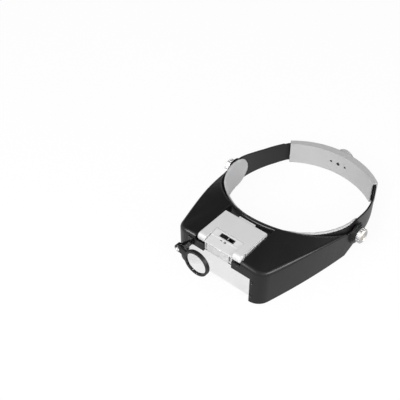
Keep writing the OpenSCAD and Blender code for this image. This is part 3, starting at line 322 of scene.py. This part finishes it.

# %% [markdown]
# ## Plastics and metals
# One recipe serves all plastics. The colour is scaled by the faint cloud, raised near an edge as a
# painted highlight and lowered in narrow seams as painted shade; roughness and grain come from the
# group. Metals use the same recipe with a finer grain and the Metallic slider up.


# %% Plastic and metal recipes
def plastic(name, colour, low, high, grain=2500.0, depth=0.02, bump=0.25, edge=0.4, painted_highlight=0.25,
            level=0.5):
    """Moulded plastic between two roughnesses. The grain's depth and the edge's radius are in mm.

    The colour near an edge is raised by a given share, as a painted highlight, and level is the
    shader's specular level.
    """
    mat = bpy.data.materials.new(name)
    mat.use_nodes = True
    n, link = mat.node_tree.nodes, mat.node_tree.links
    skin = n["Principled BSDF"]
    skin.inputs["Specular IOR Level"].default_value = level
    grained, edge_highlight, seam_shading = (n.new("ShaderNodeGroup") for _ in range(3))
    grained.node_tree, edge_highlight.node_tree, seam_shading.node_tree = GRAIN, EDGE, SEAM
    grained.inputs["Scale"].default_value = grain
    grained.inputs["Low gloss"].default_value = low
    grained.inputs["High gloss"].default_value = high
    edge_highlight.inputs["Radius"].default_value = edge * MM
    # Near an edge the colour is raised: a painted highlight.
    highlighted = n.new("ShaderNodeMath")
    highlighted.operation = "MULTIPLY_ADD"
    highlighted.inputs[1].default_value = painted_highlight
    # In narrow seams the colour falls: painted shade.
    shaded = n.new("ShaderNodeMath")
    shaded.operation = "MULTIPLY"
    tint = n.new("ShaderNodeVectorMath")
    tint.operation = "SCALE"
    tint.inputs[0].default_value = colour
    bumps = n.new("ShaderNodeBump")
    bumps.inputs["Strength"].default_value = bump
    bumps.inputs["Distance"].default_value = depth * MM
    link.new(edge_highlight.outputs["Mask"], highlighted.inputs[0])
    link.new(grained.outputs["Shade"], highlighted.inputs[2])
    link.new(highlighted.outputs[0], shaded.inputs[0])
    link.new(seam_shading.outputs["Unshaded"], shaded.inputs[1])
    link.new(shaded.outputs[0], tint.inputs["Scale"])
    link.new(tint.outputs["Vector"], skin.inputs["Base Color"])
    link.new(grained.outputs["Roughness"], skin.inputs["Roughness"])
    link.new(grained.outputs["Height"], bumps.inputs["Height"])
    link.new(edge_highlight.outputs["Normal"], bumps.inputs["Normal"])
    link.new(bumps.outputs["Normal"], skin.inputs["Normal"])
    return mat


def metal(name, colour, low, high):
    """Plated or turned metal with an uneven polish."""
    mat = plastic(name, colour, low, high, grain=6000.0, depth=0.01, bump=0.1, edge=0.25, painted_highlight=0.05)
    mat.node_tree.nodes["Principled BSDF"].inputs["Metallic"].default_value = 1.0
    return mat


# %% [markdown]
# ## Clear parts
# The lenses are polished acrylic. Wiped acrylic is never quite even, so its roughness rises a
# little in soft smears, and the surface waves by a few thousandths of a millimetre. The level
# edges of the front lens are thin and see the dark inside of the visor, which drew a hard line
# that the photograph lacks, so those faces fade away.
# Their colour drifts at random from pale to a darker grey, a painted reflection of the darker
# things seen through them.


# %% Clear recipe
ACRYLIC_IOR = 1.49


def clear(name, pale, reflected_grey, smear):
    """Clear acrylic or resin with faint smears, and a colour that drifts at random from pale to a
    darker grey, a painted reflection.
    """
    mat = bpy.data.materials.new(name)
    mat.use_nodes = True
    n, link = mat.node_tree.nodes, mat.node_tree.links
    skin = n["Principled BSDF"]
    skin.inputs["IOR"].default_value = ACRYLIC_IOR
    skin.inputs["Transmission Weight"].default_value = 1.0
    coord = n.new("ShaderNodeTexCoord")
    wiped = n.new("ShaderNodeTexNoise")
    wiped.inputs["Scale"].default_value = 70.0
    wiped.inputs["Distortion"].default_value = 1.5
    haze = n.new("ShaderNodeMapRange")
    haze.inputs["From Min"].default_value = 0.5
    haze.inputs["To Max"].default_value = smear
    # The colour drifts at random towards the darker grey: a painted reflection.
    painted_reflection = n.new("ShaderNodeTexNoise")
    painted_reflection.inputs["Scale"].default_value = 30.0
    painted_reflection.inputs["Detail"].default_value = 1.0
    shade = n.new("ShaderNodeMix")
    shade.data_type = "RGBA"
    shade.inputs["A"].default_value = (reflected_grey, reflected_grey, reflected_grey, 1.0)
    shade.inputs["B"].default_value = (pale, pale, pale, 1.0)
    bumps = n.new("ShaderNodeBump")
    bumps.inputs["Strength"].default_value = 0.05
    bumps.inputs["Distance"].default_value = 0.01 * MM
    link.new(coord.outputs["Object"], wiped.inputs["Vector"])
    link.new(coord.outputs["Object"], painted_reflection.inputs["Vector"])
    link.new(painted_reflection.outputs["Fac"], shade.inputs["Factor"])
    link.new(shade.outputs["Result"], skin.inputs["Base Color"])
    link.new(wiped.outputs["Fac"], haze.inputs["Value"])
    link.new(wiped.outputs["Fac"], bumps.inputs["Height"])
    link.new(haze.outputs["Result"], skin.inputs["Roughness"])
    link.new(bumps.outputs["Normal"], skin.inputs["Normal"])
    return mat


def fade_level_faces(mat):
    """Lets the faces that lie level, seen from inside or outside, fade away."""
    n, link = mat.node_tree.nodes, mat.node_tree.links
    surface, sides = n.new("ShaderNodeNewGeometry"), n.new("ShaderNodeSeparateXYZ")
    level, faded = n.new("ShaderNodeMath"), n.new("ShaderNodeMapRange")
    level.operation = "ABSOLUTE"
    faded.inputs["From Min"].default_value = 0.8
    faded.inputs["From Max"].default_value = 0.95
    faded.inputs["To Min"].default_value = 1.0
    faded.inputs["To Max"].default_value = 0.0
    link.new(surface.outputs["True Normal"], sides.inputs["Vector"])
    link.new(sides.outputs["Z"], level.inputs[0])
    link.new(level.outputs[0], faded.inputs["Value"])
    link.new(faded.outputs["Result"], n["Principled BSDF"].inputs["Alpha"])


# %% Finishes
# The edge numbers of each finish set a painted highlight along its edges.
visor_black = plastic("visor_black", (0.0135, 0.0135, 0.014), 0.3, 0.42, grain=1500.0,
                      depth=0.05, bump=0.6, edge=1.0, painted_highlight=1.2, level=0.18)
band_black = plastic("band_black", (0.012, 0.012, 0.0125), 0.4, 0.5, edge=0.3, painted_highlight=0.4, level=0.24)
gloss_black = plastic("gloss_black", (0.006, 0.006, 0.0065), 0.16, 0.26, grain=4000.0, bump=0.1,
                      level=0.4)
housing_grey = plastic("housing_grey", (0.6, 0.6, 0.6), 0.4, 0.5, edge=1.2, painted_highlight=0.22)
lamp_grey = plastic("lamp_grey", (0.76, 0.76, 0.76), 0.36, 0.46, edge=1.0, painted_highlight=0.2)
nylon = plastic("nylon", (0.7, 0.7, 0.68), 0.4, 0.5)
rubber = plastic("washer_rubber", (0.012, 0.012, 0.012), 0.45, 0.6, grain=1200.0, depth=0.05)
steel = metal("plated_steel", (0.62, 0.62, 0.64), 0.2, 0.35)
bright = metal("bright_knob", (0.46, 0.46, 0.455), 0.4, 0.52)
brass = metal("turned_brass", (0.5, 0.38, 0.2), 0.25, 0.4)
board_white = plastic("board_white", (0.82, 0.83, 0.82), 0.2, 0.3, grain=900.0)
cup_white = plastic("cup_white", (0.82, 0.82, 0.82), 0.2, 0.3, grain=3000.0)
cell_skin = plastic("cell_skin", (0.1, 0.11, 0.13), 0.2, 0.35)
acrylic = clear("acrylic", 0.88, 0.74, 0.05)
fade_level_faces(acrylic)
loupe_acrylic = clear("loupe_acrylic", 0.9, 0.8, 0.04)
window = plastic("window_milky", (0.94, 0.94, 0.94), 0.08, 0.16, grain=4000.0, depth=0.005,
                 edge=0.3, painted_highlight=0.05)
window.node_tree.nodes["Principled BSDF"].inputs["Alpha"].default_value = 0.6
led_resin = clear("led_resin", 0.97, 0.92, 0.08)

FINISH = {
    visor_black: ["visor_shell"],
    band_black: ["forehead_band", "strap_rack_left", "strap_rack_right", "loupe_ring",
                 "switch_slider"],
    gloss_black: ["housing_screws", "adjuster_screw", "lens_clips", "lens_screws",
                  "flip_lens_frame", "loupe_bracket"],
    housing_grey: ["rear_housing_inner", "rear_housing_outer", "adjuster_knob", "forehead_pad"],
    lamp_grey: ["lamp_case", "battery_lid"],
    nylon: ["adjuster_pinion"],
    rubber: ["friction_washers"],
    steel: ["click_spring", "pivot_bolts", "loupe_screw", "lamp_hinge_pins",
            "battery_contacts"],
    bright: ["clamp_knob_left", "clamp_knob_right"],
    brass: ["knob_insert_left", "knob_insert_right"],
    acrylic: ["front_lens", "flip_lens"],
    loupe_acrylic: ["loupe_lens"],
    window: ["lamp_window"],
    led_resin: ["lamp_leds"],
    board_white: ["circuit_board"],
    cell_skin: ["batteries"],
}
painted = 0
for finish, names in FINISH.items():
    for name in names:
        nodes[name].data.materials.clear()
        nodes[name].data.materials.append(finish)
        painted += 1
print(painted, "of", len(nodes), "nodes painted")

# %% [markdown]
# ## Modelling by hand
# Every new piece starts as a primitive with nothing else selected, is shaped in edit mode, and
# keeps its object at the origin, so that its place is in its mesh. Two helpers begin that work,
# one ends it, and one picks faces.


# %% Begin and end a piece
def begin_block(name, low, high):
    """A cube between two corners, left in edit mode with everything selected."""
    bpy.ops.object.select_all(action="DESELECT")
    bpy.ops.mesh.primitive_cube_add(size=1.0)
    piece = bpy.context.active_object
    piece.name = piece.data.name = name
    bpy.ops.object.mode_set(mode="EDIT")
    bpy.ops.mesh.select_all(action="SELECT")
    bpy.ops.transform.resize(value=high - low)
    bpy.ops.transform.translate(value=(low + high) / 2)
    return piece


def begin_ring(name, centre, radius, sides, axis):
    """A filled disc round an axis, left in edit mode with everything selected."""
    bpy.ops.object.select_all(action="DESELECT")
    bpy.ops.mesh.primitive_circle_add(vertices=sides, radius=radius, fill_type="NGON")
    piece = bpy.context.active_object
    piece.name = piece.data.name = name
    facing = axis.to_track_quat("Z", "Y").to_matrix().to_4x4()
    piece.data.transform(Matrix.Translation(centre) @ facing)
    bpy.ops.object.mode_set(mode="EDIT")
    bpy.ops.mesh.select_all(action="SELECT")
    return piece


def end_piece(piece, finish, body, angle=40.0):
    """Normals out, smooth shading where faces meet softly, and its finish and body."""
    if bpy.context.mode == "OBJECT":
        bpy.ops.object.select_all(action="DESELECT")
        piece.select_set(True)
        bpy.context.view_layer.objects.active = piece
        bpy.ops.object.mode_set(mode="EDIT")
    bpy.ops.mesh.select_all(action="SELECT")
    bpy.ops.mesh.normals_make_consistent(inside=False)
    bpy.ops.object.mode_set(mode="OBJECT")
    bpy.ops.object.shade_smooth_by_angle(angle=math.radians(angle))
    bpy.ops.object.select_all(action="DESELECT")
    piece.data.materials.clear()
    piece.data.materials.append(finish)
    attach(piece, body)
    print(piece.name, len(piece.data.polygons), "faces on", body)


def select_faces(piece, wanted):
    """Selects the faces of an edited piece for which wanted(centre, normal) is true."""
    bpy.ops.mesh.select_mode(type="FACE")
    bpy.ops.mesh.select_all(action="DESELECT")
    mesh = bmesh.from_edit_mesh(piece.data)
    for face in mesh.faces:
        face.select_set(wanted(face.calc_center_median(), face.normal))
    bmesh.update_edit_mesh(piece.data)


# %% [markdown]
# ## Forehead pad
# The pad is a strip of foam in smooth soft vinyl, welded along its border and held against the
# inside of the band. A real one is cut flat, welded, and bent round the band, so this one is made
# the same way: a flat blank with round ends, wrapped round the head arc, and then blown up by a
# short cloth simulation that holds its back to the band. A remesh gives the cloth even faces, and
# the thin weld line comes last, because a remesh would wipe it out.

# %% Pad sizes
HEAD_Y = 3.0                        # from the knob axis to the middle of the head arc, mm
PAD_IN, PAD_OUT = 84.55, 87.12      # radii of its two faces
PAD_BASE, PAD_TALL = 2.05, 42.4     # lower edge and least height
PAD_RISE = 0.097                    # rise of the upper edge per millimetre forward
PAD_END = 7.0                       # where the rise starts, forward of the middle of the arc
PAD_MID = (PAD_IN + PAD_OUT) / 2
end_angle = math.acos(PAD_END / PAD_MID)
end_middle = PAD_MID * end_angle
half_length = end_middle + PAD_TALL / 2


def pad_top(arc):
    """Height of the pad at a place along its length, in millimetres."""
    return PAD_TALL + PAD_RISE * max(0.0, PAD_MID * math.cos(arc / PAD_MID) - PAD_END)


print("pad blank", round(2 * half_length, 1), "x", PAD_TALL, "mm")

# %% Cut the pad blank
CUTS = 110                          # parts along the pad, so that it bends evenly
ROWS = (0.25, 0.5, 0.75, 0.9, 0.935, 0.955, 0.975)
ROOM_TO_SWELL, THROUGH = 0.35, 0.5  # what the swelling fills, and less than the thickness
END_STEPS, JUST_UNDER = 14, 0.999   # so that the two round corners of an end don't quite meet
blank_low = Vector((-half_length, -(PAD_OUT - PAD_IN) / 2 + ROOM_TO_SWELL, 0.0)) * MM
blank_high = Vector((half_length, (PAD_OUT - PAD_IN) / 2, PAD_TALL)) * MM
pad = begin_block("pad", blank_low, blank_high)
bpy.ops.mesh.select_mode(type="EDGE")
bpy.ops.mesh.select_all(action="DESELECT")
blank = bmesh.from_edit_mesh(pad.data)
for edge in blank.edges:
    a, b = edge.verts
    edge.select_set(abs(a.co.y - b.co.y) > THROUGH * MM)
bmesh.update_edit_mesh(pad.data)
bpy.ops.mesh.bevel(offset=PAD_TALL / 2 * MM * JUST_UNDER, offset_type="OFFSET",
                   segments=END_STEPS, affect="EDGES")
for k in range(1, CUTS):
    bpy.ops.mesh.select_all(action="SELECT")
    x = -half_length + 2 * half_length * k / CUTS
    bpy.ops.mesh.bisect(plane_co=(x * MM, 0.0, 0.0), plane_no=(1.0, 0.0, 0.0))
for row in ROWS:
    bpy.ops.mesh.select_all(action="SELECT")
    bpy.ops.mesh.bisect(plane_co=(0.0, 0.0, row * PAD_TALL * MM), plane_no=(0.0, 0.0, 1.0))
bpy.ops.object.mode_set(mode="OBJECT")
print("blank", len(pad.data.polygons), "faces")


# %% Wrap the blank round the head
BAND_LOW, BAND_SLOPE, BAND_FROM = 42.5, 0.0993, 18.9
ROLL_OUT, OVER_FROM, OVER_FULL = 1.7, 0.3, 0.6
ROLL_FROM, ROLL_FULL = 38.0, 52.0   # degrees from the middle of the forehead
ROLL_END, ROLL_FADE = 90.0, 6.0
VOXEL = 1.15


def roll_out(arc, z):
    """How far the border stands out over the band's upper edge near the temples, in mm."""
    angle = abs(math.degrees(arc / PAD_MID))
    forward = PAD_MID * math.cos(arc / PAD_MID) - HEAD_Y
    band_top = BAND_LOW + BAND_SLOPE * max(0.0, forward - BAND_FROM)
    along = min(1.0, max(0.0, (angle - ROLL_FROM) / (ROLL_FULL - ROLL_FROM)))
    along *= min(1.0, max(0.0, (ROLL_END - angle) / ROLL_FADE))
    over_band = min(1.0, max(0.0, (z - band_top - OVER_FROM) / OVER_FULL))
    return ROLL_OUT * along * over_band


def wrapped(flat):
    """From the flat blank, with x along it, y through it and z up, to its place round the head."""
    arc = flat.x / MM
    angle = arc / PAD_MID
    r = PAD_MID + flat.y / MM
    z = PAD_BASE + flat.z / MM * pad_top(arc) / PAD_TALL
    r += roll_out(arc, z) if flat.y > 0 else 0.0
    return at(r * math.sin(angle), HEAD_Y - r * math.cos(angle), z)


for v in pad.data.vertices:
    v.co = wrapped(v.co)
remesh = pad.modifiers.new("remesh", "REMESH")
remesh.mode = "VOXEL"
remesh.voxel_size = VOXEL * MM
bpy.context.view_layer.objects.active = pad
pad.select_set(True)
bpy.ops.object.modifier_apply(modifier=remesh.name)
print("pad remeshed to", len(pad.data.polygons), "faces")


# %% Blow the pad up
def ring_place(co):
    """Radius and arc in millimetres of a point round the middle of the head arc, and its height."""
    x, y = co.x / MM, (co.y - AXIS.y) / MM - HEAD_Y
    return math.hypot(x, y), math.atan2(x, -y) * PAD_MID, co.z / MM


def border_distance(arc, z):
    """How far a point of the pad is from its border, in millimetres."""
    up = z - PAD_BASE
    over_end = abs(arc) - end_middle
    if over_end > 0:
        return PAD_TALL / 2 - math.hypot(over_end, up - PAD_TALL / 2)
    return min(up, pad_top(arc) - up)


SWELL = 0.45                        # the most that a point of the pad may move, mm
HELD_BACK = 0.6                     # depth of the back that is held to the band, mm
FRAMES, PRESSURE = 20, 4.0
rest = [v.co.copy() for v in pad.data.vertices]
held = pad.vertex_groups.new(name="held")
at_back = [v.index for v in pad.data.vertices if ring_place(v.co)[0] > PAD_OUT - HELD_BACK]
held.add(at_back, 1.0, "REPLACE")
puff = pad.modifiers.new("puff", "CLOTH")
puff.settings.vertex_group_mass = held.name
puff.settings.use_pressure = True
puff.settings.uniform_pressure_force = PRESSURE
puff.settings.effector_weights.gravity = 0.0
puff.point_cache.frame_start, puff.point_cache.frame_end = 1, FRAMES
for number in range(1, FRAMES + 1):
    bpy.context.scene.frame_set(number)
blown = pad.evaluated_get(bpy.context.evaluated_depsgraph_get()).data
moved = [blown.vertices[i].co - rest[i] for i in range(len(rest))]
pad.modifiers.remove(puff)
bpy.context.scene.frame_set(1)
for v, step in zip(pad.data.vertices, moved):
    far = step.length
    v.co = v.co + (step * min(1.0, SWELL * MM / far) if far > 0 else step)
print("pad blown up by at most", round(min(SWELL, max(s.length for s in moved) / MM), 2), "mm")

# %% Weld line and final form
WELD_IN, WELD_WIDE, WELD_DEEP = 3.2, 0.9, 0.55
FRONT_FROM, PROUD = 0.8, 0.1
even = pad.modifiers.new("even", "SMOOTH")
even.factor = 0.5
even.iterations = 5
smooth = pad.modifiers.new("smooth", "SUBSURF")
smooth.levels = smooth.render_levels = 1
pad.select_set(True)
bpy.context.view_layer.objects.active = pad
for modifier in (even, smooth):
    bpy.ops.object.modifier_apply(modifier=modifier.name)
for v in pad.data.vertices:
    r, arc, z = ring_place(v.co)
    inward = min(1.0, max(0.0, (PAD_OUT - FRONT_FROM - r) / FRONT_FROM))
    weld = math.exp(-((border_distance(arc, z) - WELD_IN) / WELD_WIDE) ** 2)
    r_new = min(max(r, PAD_IN - PROUD), PAD_OUT + roll_out(arc, z)) + WELD_DEEP * weld * inward
    outward = Vector((v.co.x, v.co.y - AXIS.y - HEAD_Y * MM, 0.0)).normalized()
    v.co += outward * (r_new - r) * MM
print("pad", len(pad.data.polygons), "faces")

# %% [markdown]
# The vinyl is pale grey and soft to the touch. Its finish has very fine pores, a broad uneven
# gloss and a little sheen at grazing angles, where the skin picks up light like cloth does.

# %% Pad vinyl
pad_vinyl = plastic("pad_vinyl", (0.64, 0.64, 0.65), 0.5, 0.62, grain=1500.0, depth=0.06, bump=0.35,
                    edge=0.3, painted_highlight=0.05)
pad_vinyl.node_tree.nodes["Principled BSDF"].inputs["Sheen Weight"].default_value = 0.15
end_piece(pad, pad_vinyl, "headband", angle=180.0)
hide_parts("forehead_pad")

# %% [markdown]
# ## Lip along the rim of the visor
# The free edge of the deck over the forehead is rolled into a small bead, which stiffens it and
# is kind to the skin. The rim lies in one sloping plane, so a bead is spun as a plain arc and
# then tilted into that plane.

# %% Rim lip
RIM_R, RIM_SIDE, RIM_RISE, RIM_END = 91.0, 28.0, 31.0, 74.8
LIP_R, LIP_SIDES, LIP_STEPS = 0.85, 14, 120
LIP_GAP, LIP_DROP = 0.05, 0.55
bpy.ops.mesh.primitive_circle_add(vertices=LIP_SIDES, radius=LIP_R * MM, fill_type="NGON")
lip = bpy.context.active_object
lip.name = lip.data.name = "rim_lip"
first = Matrix.Rotation(math.radians(RIM_END), 4, "Z")
middle = Vector((0.0, -(RIM_R + LIP_R + LIP_GAP) * MM, 0.0))
across = Matrix.Rotation(math.radians(90.0), 4, "Y")
lip.data.transform(first @ Matrix.Translation(middle) @ across)
bpy.ops.object.mode_set(mode="EDIT")
bpy.ops.mesh.select_all(action="SELECT")
bpy.ops.mesh.spin(steps=LIP_STEPS, angle=math.radians(2 * RIM_END), center=(0.0, 0.0, 0.0),
                  axis=(0.0, 0.0, 1.0))
bpy.ops.object.mode_set(mode="OBJECT")
slope = RIM_RISE / RIM_R
for v in lip.data.vertices:
    x, y, z = v.co / MM
    v.co = at(x, y + HEAD_Y, z - y * slope + RIM_SIDE - LIP_DROP)
print("lip", [round(c / MM, 1) for c in lip.dimensions])
end_piece(lip, visor_black, "visor")

# %% [markdown]
# ## Trim of the lamp
# Each LED sits in a bright cup that throws its light forward. The cup is a disc pushed back and
# narrowed into a bowl, with a flat rim round its mouth, and the second is a copy with its own
# mesh.

# %% Reflector cups
FORWARD = Vector((0.0, -1.0, 0.0))
LED_X, LED_Z, BOARD_Y = 8.0, 46.5, -142.2
CUP_R, CUP_SIDES, CUP_OUT = 3.7, 40, 4.6
CUP_RIM, CUP_WALL = 0.35, 0.25
CUP_STEPS = ((2.0, 0.9), (1.6, 0.84))       # how far back, and how much narrower
cup = begin_ring("led_cup_left", at(LED_X, BOARD_Y - CUP_OUT, LED_Z), CUP_R * MM,
                 CUP_SIDES, FORWARD)
bpy.ops.mesh.inset(thickness=CUP_RIM * MM)
for back_by, narrow in CUP_STEPS:
    bpy.ops.mesh.extrude_region_move(TRANSFORM_OT_translate={"value": (0.0, back_by * MM, 0.0)})
    bpy.ops.transform.resize(value=(narrow, 1.0, narrow),
                             center_override=at(LED_X, BOARD_Y, LED_Z))
bpy.ops.mesh.delete(type="FACE")
bpy.ops.object.mode_set(mode="OBJECT")
wall = cup.modifiers.new("wall", "SOLIDIFY")
wall.thickness = CUP_WALL * MM
wall.offset = 1.0
bpy.ops.object.modifier_apply(modifier=wall.name)
end_piece(cup, cup_white, "lamp")
other_cup = cup.copy()
other_cup.data = cup.data.copy()
other_cup.data.transform(Matrix.Translation((-2 * LED_X * MM, 0.0, 0.0)))
other_cup.name = other_cup.data.name = "led_cup_right"
bpy.context.scene.collection.objects.link(other_cup)
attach(other_cup, "lamp")

# %% [markdown]
# Three chip resistors on the board are the small dark marks behind the window. A chip is a small
# black block, so it is a cube between two corners, whose ends are inset before every edge is
# bevelled.

# %% Chip resistors
CHIP_PLACES = ((-3.6, 47.6), (0.4, 45.4), (3.4, 48.2))
CHIP_LONG, CHIP_HIGH, CHIP_THICK, CHIP_SEAT = 1.0, 0.6, 0.55, 0.02
CHIP_INSET, CHIP_EDGE = 0.08, 0.07
for number, (x, z) in enumerate(CHIP_PLACES):
    chip = begin_block("chip_%d" % (number + 1),
                       at(x - CHIP_LONG, BOARD_Y - CHIP_THICK, z - CHIP_HIGH),
                       at(x + CHIP_LONG, BOARD_Y - CHIP_SEAT, z + CHIP_HIGH))
    select_faces(chip, lambda centre, normal: abs(normal.x) > 0.9)
    bpy.ops.mesh.inset(thickness=CHIP_INSET * MM, use_individual=True)
    bpy.ops.mesh.select_all(action="SELECT")
    bpy.ops.mesh.bevel(offset=CHIP_EDGE * MM, segments=2, affect="EDGES")
    end_piece(chip, gloss_black, "lamp")

# %% [markdown]
# ## Body of the switch
# The slider runs in a dark tray under the cover, so the slot is dark where the slider is not. The
# tray is a block whose top is inset and pushed down; its rim is then slanted to meet the sloping
# cover from below.

# %% Switch body
BODY_HALF, BODY_REAR, BODY_FRONT, BODY_LOW, BODY_TOP = 10.8, -127.65, -134.55, 51.3, 55.0
BODY_WALL, BODY_FLOOR = 0.5, 0.4
COVER_INNER_REAR, COVER_INNER_TOP, COVER_INNER_SLOPE = -127.6, 55.6, 5.5 / 25.2
INTO_COVER, RIM_SLACK = 0.15, 0.1
body = begin_block("switch_body", at(-BODY_HALF, BODY_FRONT, BODY_LOW),
                   at(BODY_HALF, BODY_REAR, BODY_TOP))
select_faces(body, lambda centre, normal: normal.z > 0.9)
bpy.ops.mesh.inset(thickness=BODY_WALL * MM)
bpy.ops.mesh.extrude_region_move(
    TRANSFORM_OT_translate={"value": (0.0, 0.0, (BODY_LOW + BODY_FLOOR - BODY_TOP) * MM)})
bpy.ops.object.mode_set(mode="OBJECT")
for v in body.data.vertices:
    if v.co.z > (BODY_TOP - RIM_SLACK) * MM:
        forward = COVER_INNER_REAR - (v.co.y - AXIS.y) / MM
        v.co.z = (COVER_INNER_TOP - COVER_INNER_SLOPE * forward + INTO_COVER) * MM
end_piece(body, gloss_black, "lamp")

# %% [markdown]
# ## Marks on the switch
# A thin pale line is let into the slider, and the cover carries the two generic signs for on and
# off, a bar and a ring, printed with a little thickness on its slope.

# %% Slider line
print_white = plastic("print_white", (0.75, 0.75, 0.75), 0.35, 0.45, grain=3000.0)
print_dark = plastic("print_dark", (0.02, 0.02, 0.022), 0.4, 0.5, grain=3000.0)
LINE_AT, RIB_TALL, LINE_EDGE = 0.93, 0.8, 0.08     # the first is a share of the slider's length
LINE_HALF = Vector((0.28, 1.9, 0.0)) * MM
LINE_SUNK, LINE_PROUD = Vector((0.0, 0.0, 0.05)) * MM, Vector((0.0, 0.0, 0.2)) * MM
slider_low, slider_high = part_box("switch_slider")
line_middle = Vector((slider_low.x + (slider_high.x - slider_low.x) * LINE_AT,
                      (slider_low.y + slider_high.y) / 2, slider_high.z - RIB_TALL * MM))
line = begin_block("slider_line", line_middle - LINE_HALF - LINE_SUNK,
                   line_middle + LINE_HALF + LINE_PROUD)
bpy.ops.mesh.bevel(offset=LINE_EDGE * MM, segments=2, affect="EDGES")
end_piece(line, print_white, "switch")

# %% On and off signs
COVER_REAR, COVER_TOP, COVER_SLOPE = -126.1, 57.5, 4.5 / 22.3
SIGN_Y = -137.6
SIGN_SUNK, SIGN_PROUD = -0.1, 0.1
BAR_LEFT, BAR_RIGHT, BAR_HALF, BAR_EDGE = -5.3, -2.5, 0.45, 0.05
RING_X, RING_R, RING_WIDE, RING_SIDES = 1.4, 1.45, 0.75, 32


def on_cover(x, y, height):
    """A place over the sloping switch cover, height above it in millimetres."""
    return at(x, y, COVER_TOP - COVER_SLOPE * (COVER_REAR - y) + height)


def lay_on_cover(piece):
    """Tilts a sign that was made level at SIGN_Y, so that it lies on the slope."""
    for v in piece.data.vertices:
        v.co.z += (v.co.y - at(0, SIGN_Y, 0).y) * COVER_SLOPE


bar = begin_block("sign_on", on_cover(BAR_LEFT, SIGN_Y - BAR_HALF, SIGN_SUNK),
                  on_cover(BAR_RIGHT, SIGN_Y + BAR_HALF, SIGN_PROUD))
bpy.ops.object.mode_set(mode="OBJECT")
flat_low, flat_high = on_cover(0, SIGN_Y, SIGN_SUNK).z, on_cover(0, SIGN_Y, SIGN_PROUD).z
middle_z = sum(v.co.z for v in bar.data.vertices) / len(bar.data.vertices)
for v in bar.data.vertices:
    v.co.z = flat_low if v.co.z < middle_z else flat_high
lay_on_cover(bar)
bpy.ops.object.mode_set(mode="EDIT")
bpy.ops.mesh.select_all(action="SELECT")
bpy.ops.mesh.bevel(offset=BAR_EDGE * MM, segments=2, affect="EDGES")
end_piece(bar, print_dark, "lamp")

ring = begin_ring("sign_off", on_cover(RING_X, SIGN_Y, SIGN_SUNK), RING_R * MM, RING_SIDES,
                  Vector((0.0, 0.0, 1.0)))
bpy.ops.mesh.inset(thickness=RING_WIDE * MM)
bpy.ops.mesh.delete(type="FACE")
bpy.ops.mesh.select_all(action="SELECT")
bpy.ops.mesh.extrude_region_move(
    TRANSFORM_OT_translate={"value": (0.0, 0.0, (SIGN_PROUD - SIGN_SUNK) * MM)})
bpy.ops.object.mode_set(mode="OBJECT")
lay_on_cover(ring)
end_piece(ring, print_dark, "lamp")

# %% [markdown]
# ## Collar of the loupe's screw
# The bright screw of the loupe stands in a black collar, a turned ring that narrows a little
# towards the front. A disc is inset and its middle deleted, and the ring that is left is extruded
# forward and drawn in.

# %% Screw collar
LOUPE_X, LOUPE_Z, ARM_FACE_Y = -43.0, 39.8, -167.8
COLLAR_R, COLLAR_SIDES, COLLAR_WIDE, COLLAR_TALL, COLLAR_TAPER = 4.4, 48, 1.1, 0.55, 0.9
COLLAR_SEAT = 0.02
collar = begin_ring("loupe_collar", at(LOUPE_X, ARM_FACE_Y - COLLAR_SEAT, LOUPE_Z), COLLAR_R * MM,
                    COLLAR_SIDES, FORWARD)
bpy.ops.mesh.inset(thickness=COLLAR_WIDE * MM)
bpy.ops.mesh.delete(type="FACE")
bpy.ops.mesh.select_all(action="SELECT")
bpy.ops.mesh.extrude_region_move(TRANSFORM_OT_translate={"value": (0.0, -COLLAR_TALL * MM, 0.0)})
bpy.ops.transform.resize(value=(COLLAR_TAPER, 1.0, COLLAR_TAPER),
                         center_override=at(LOUPE_X, ARM_FACE_Y, LOUPE_Z))
end_piece(collar, gloss_black, "loupe")
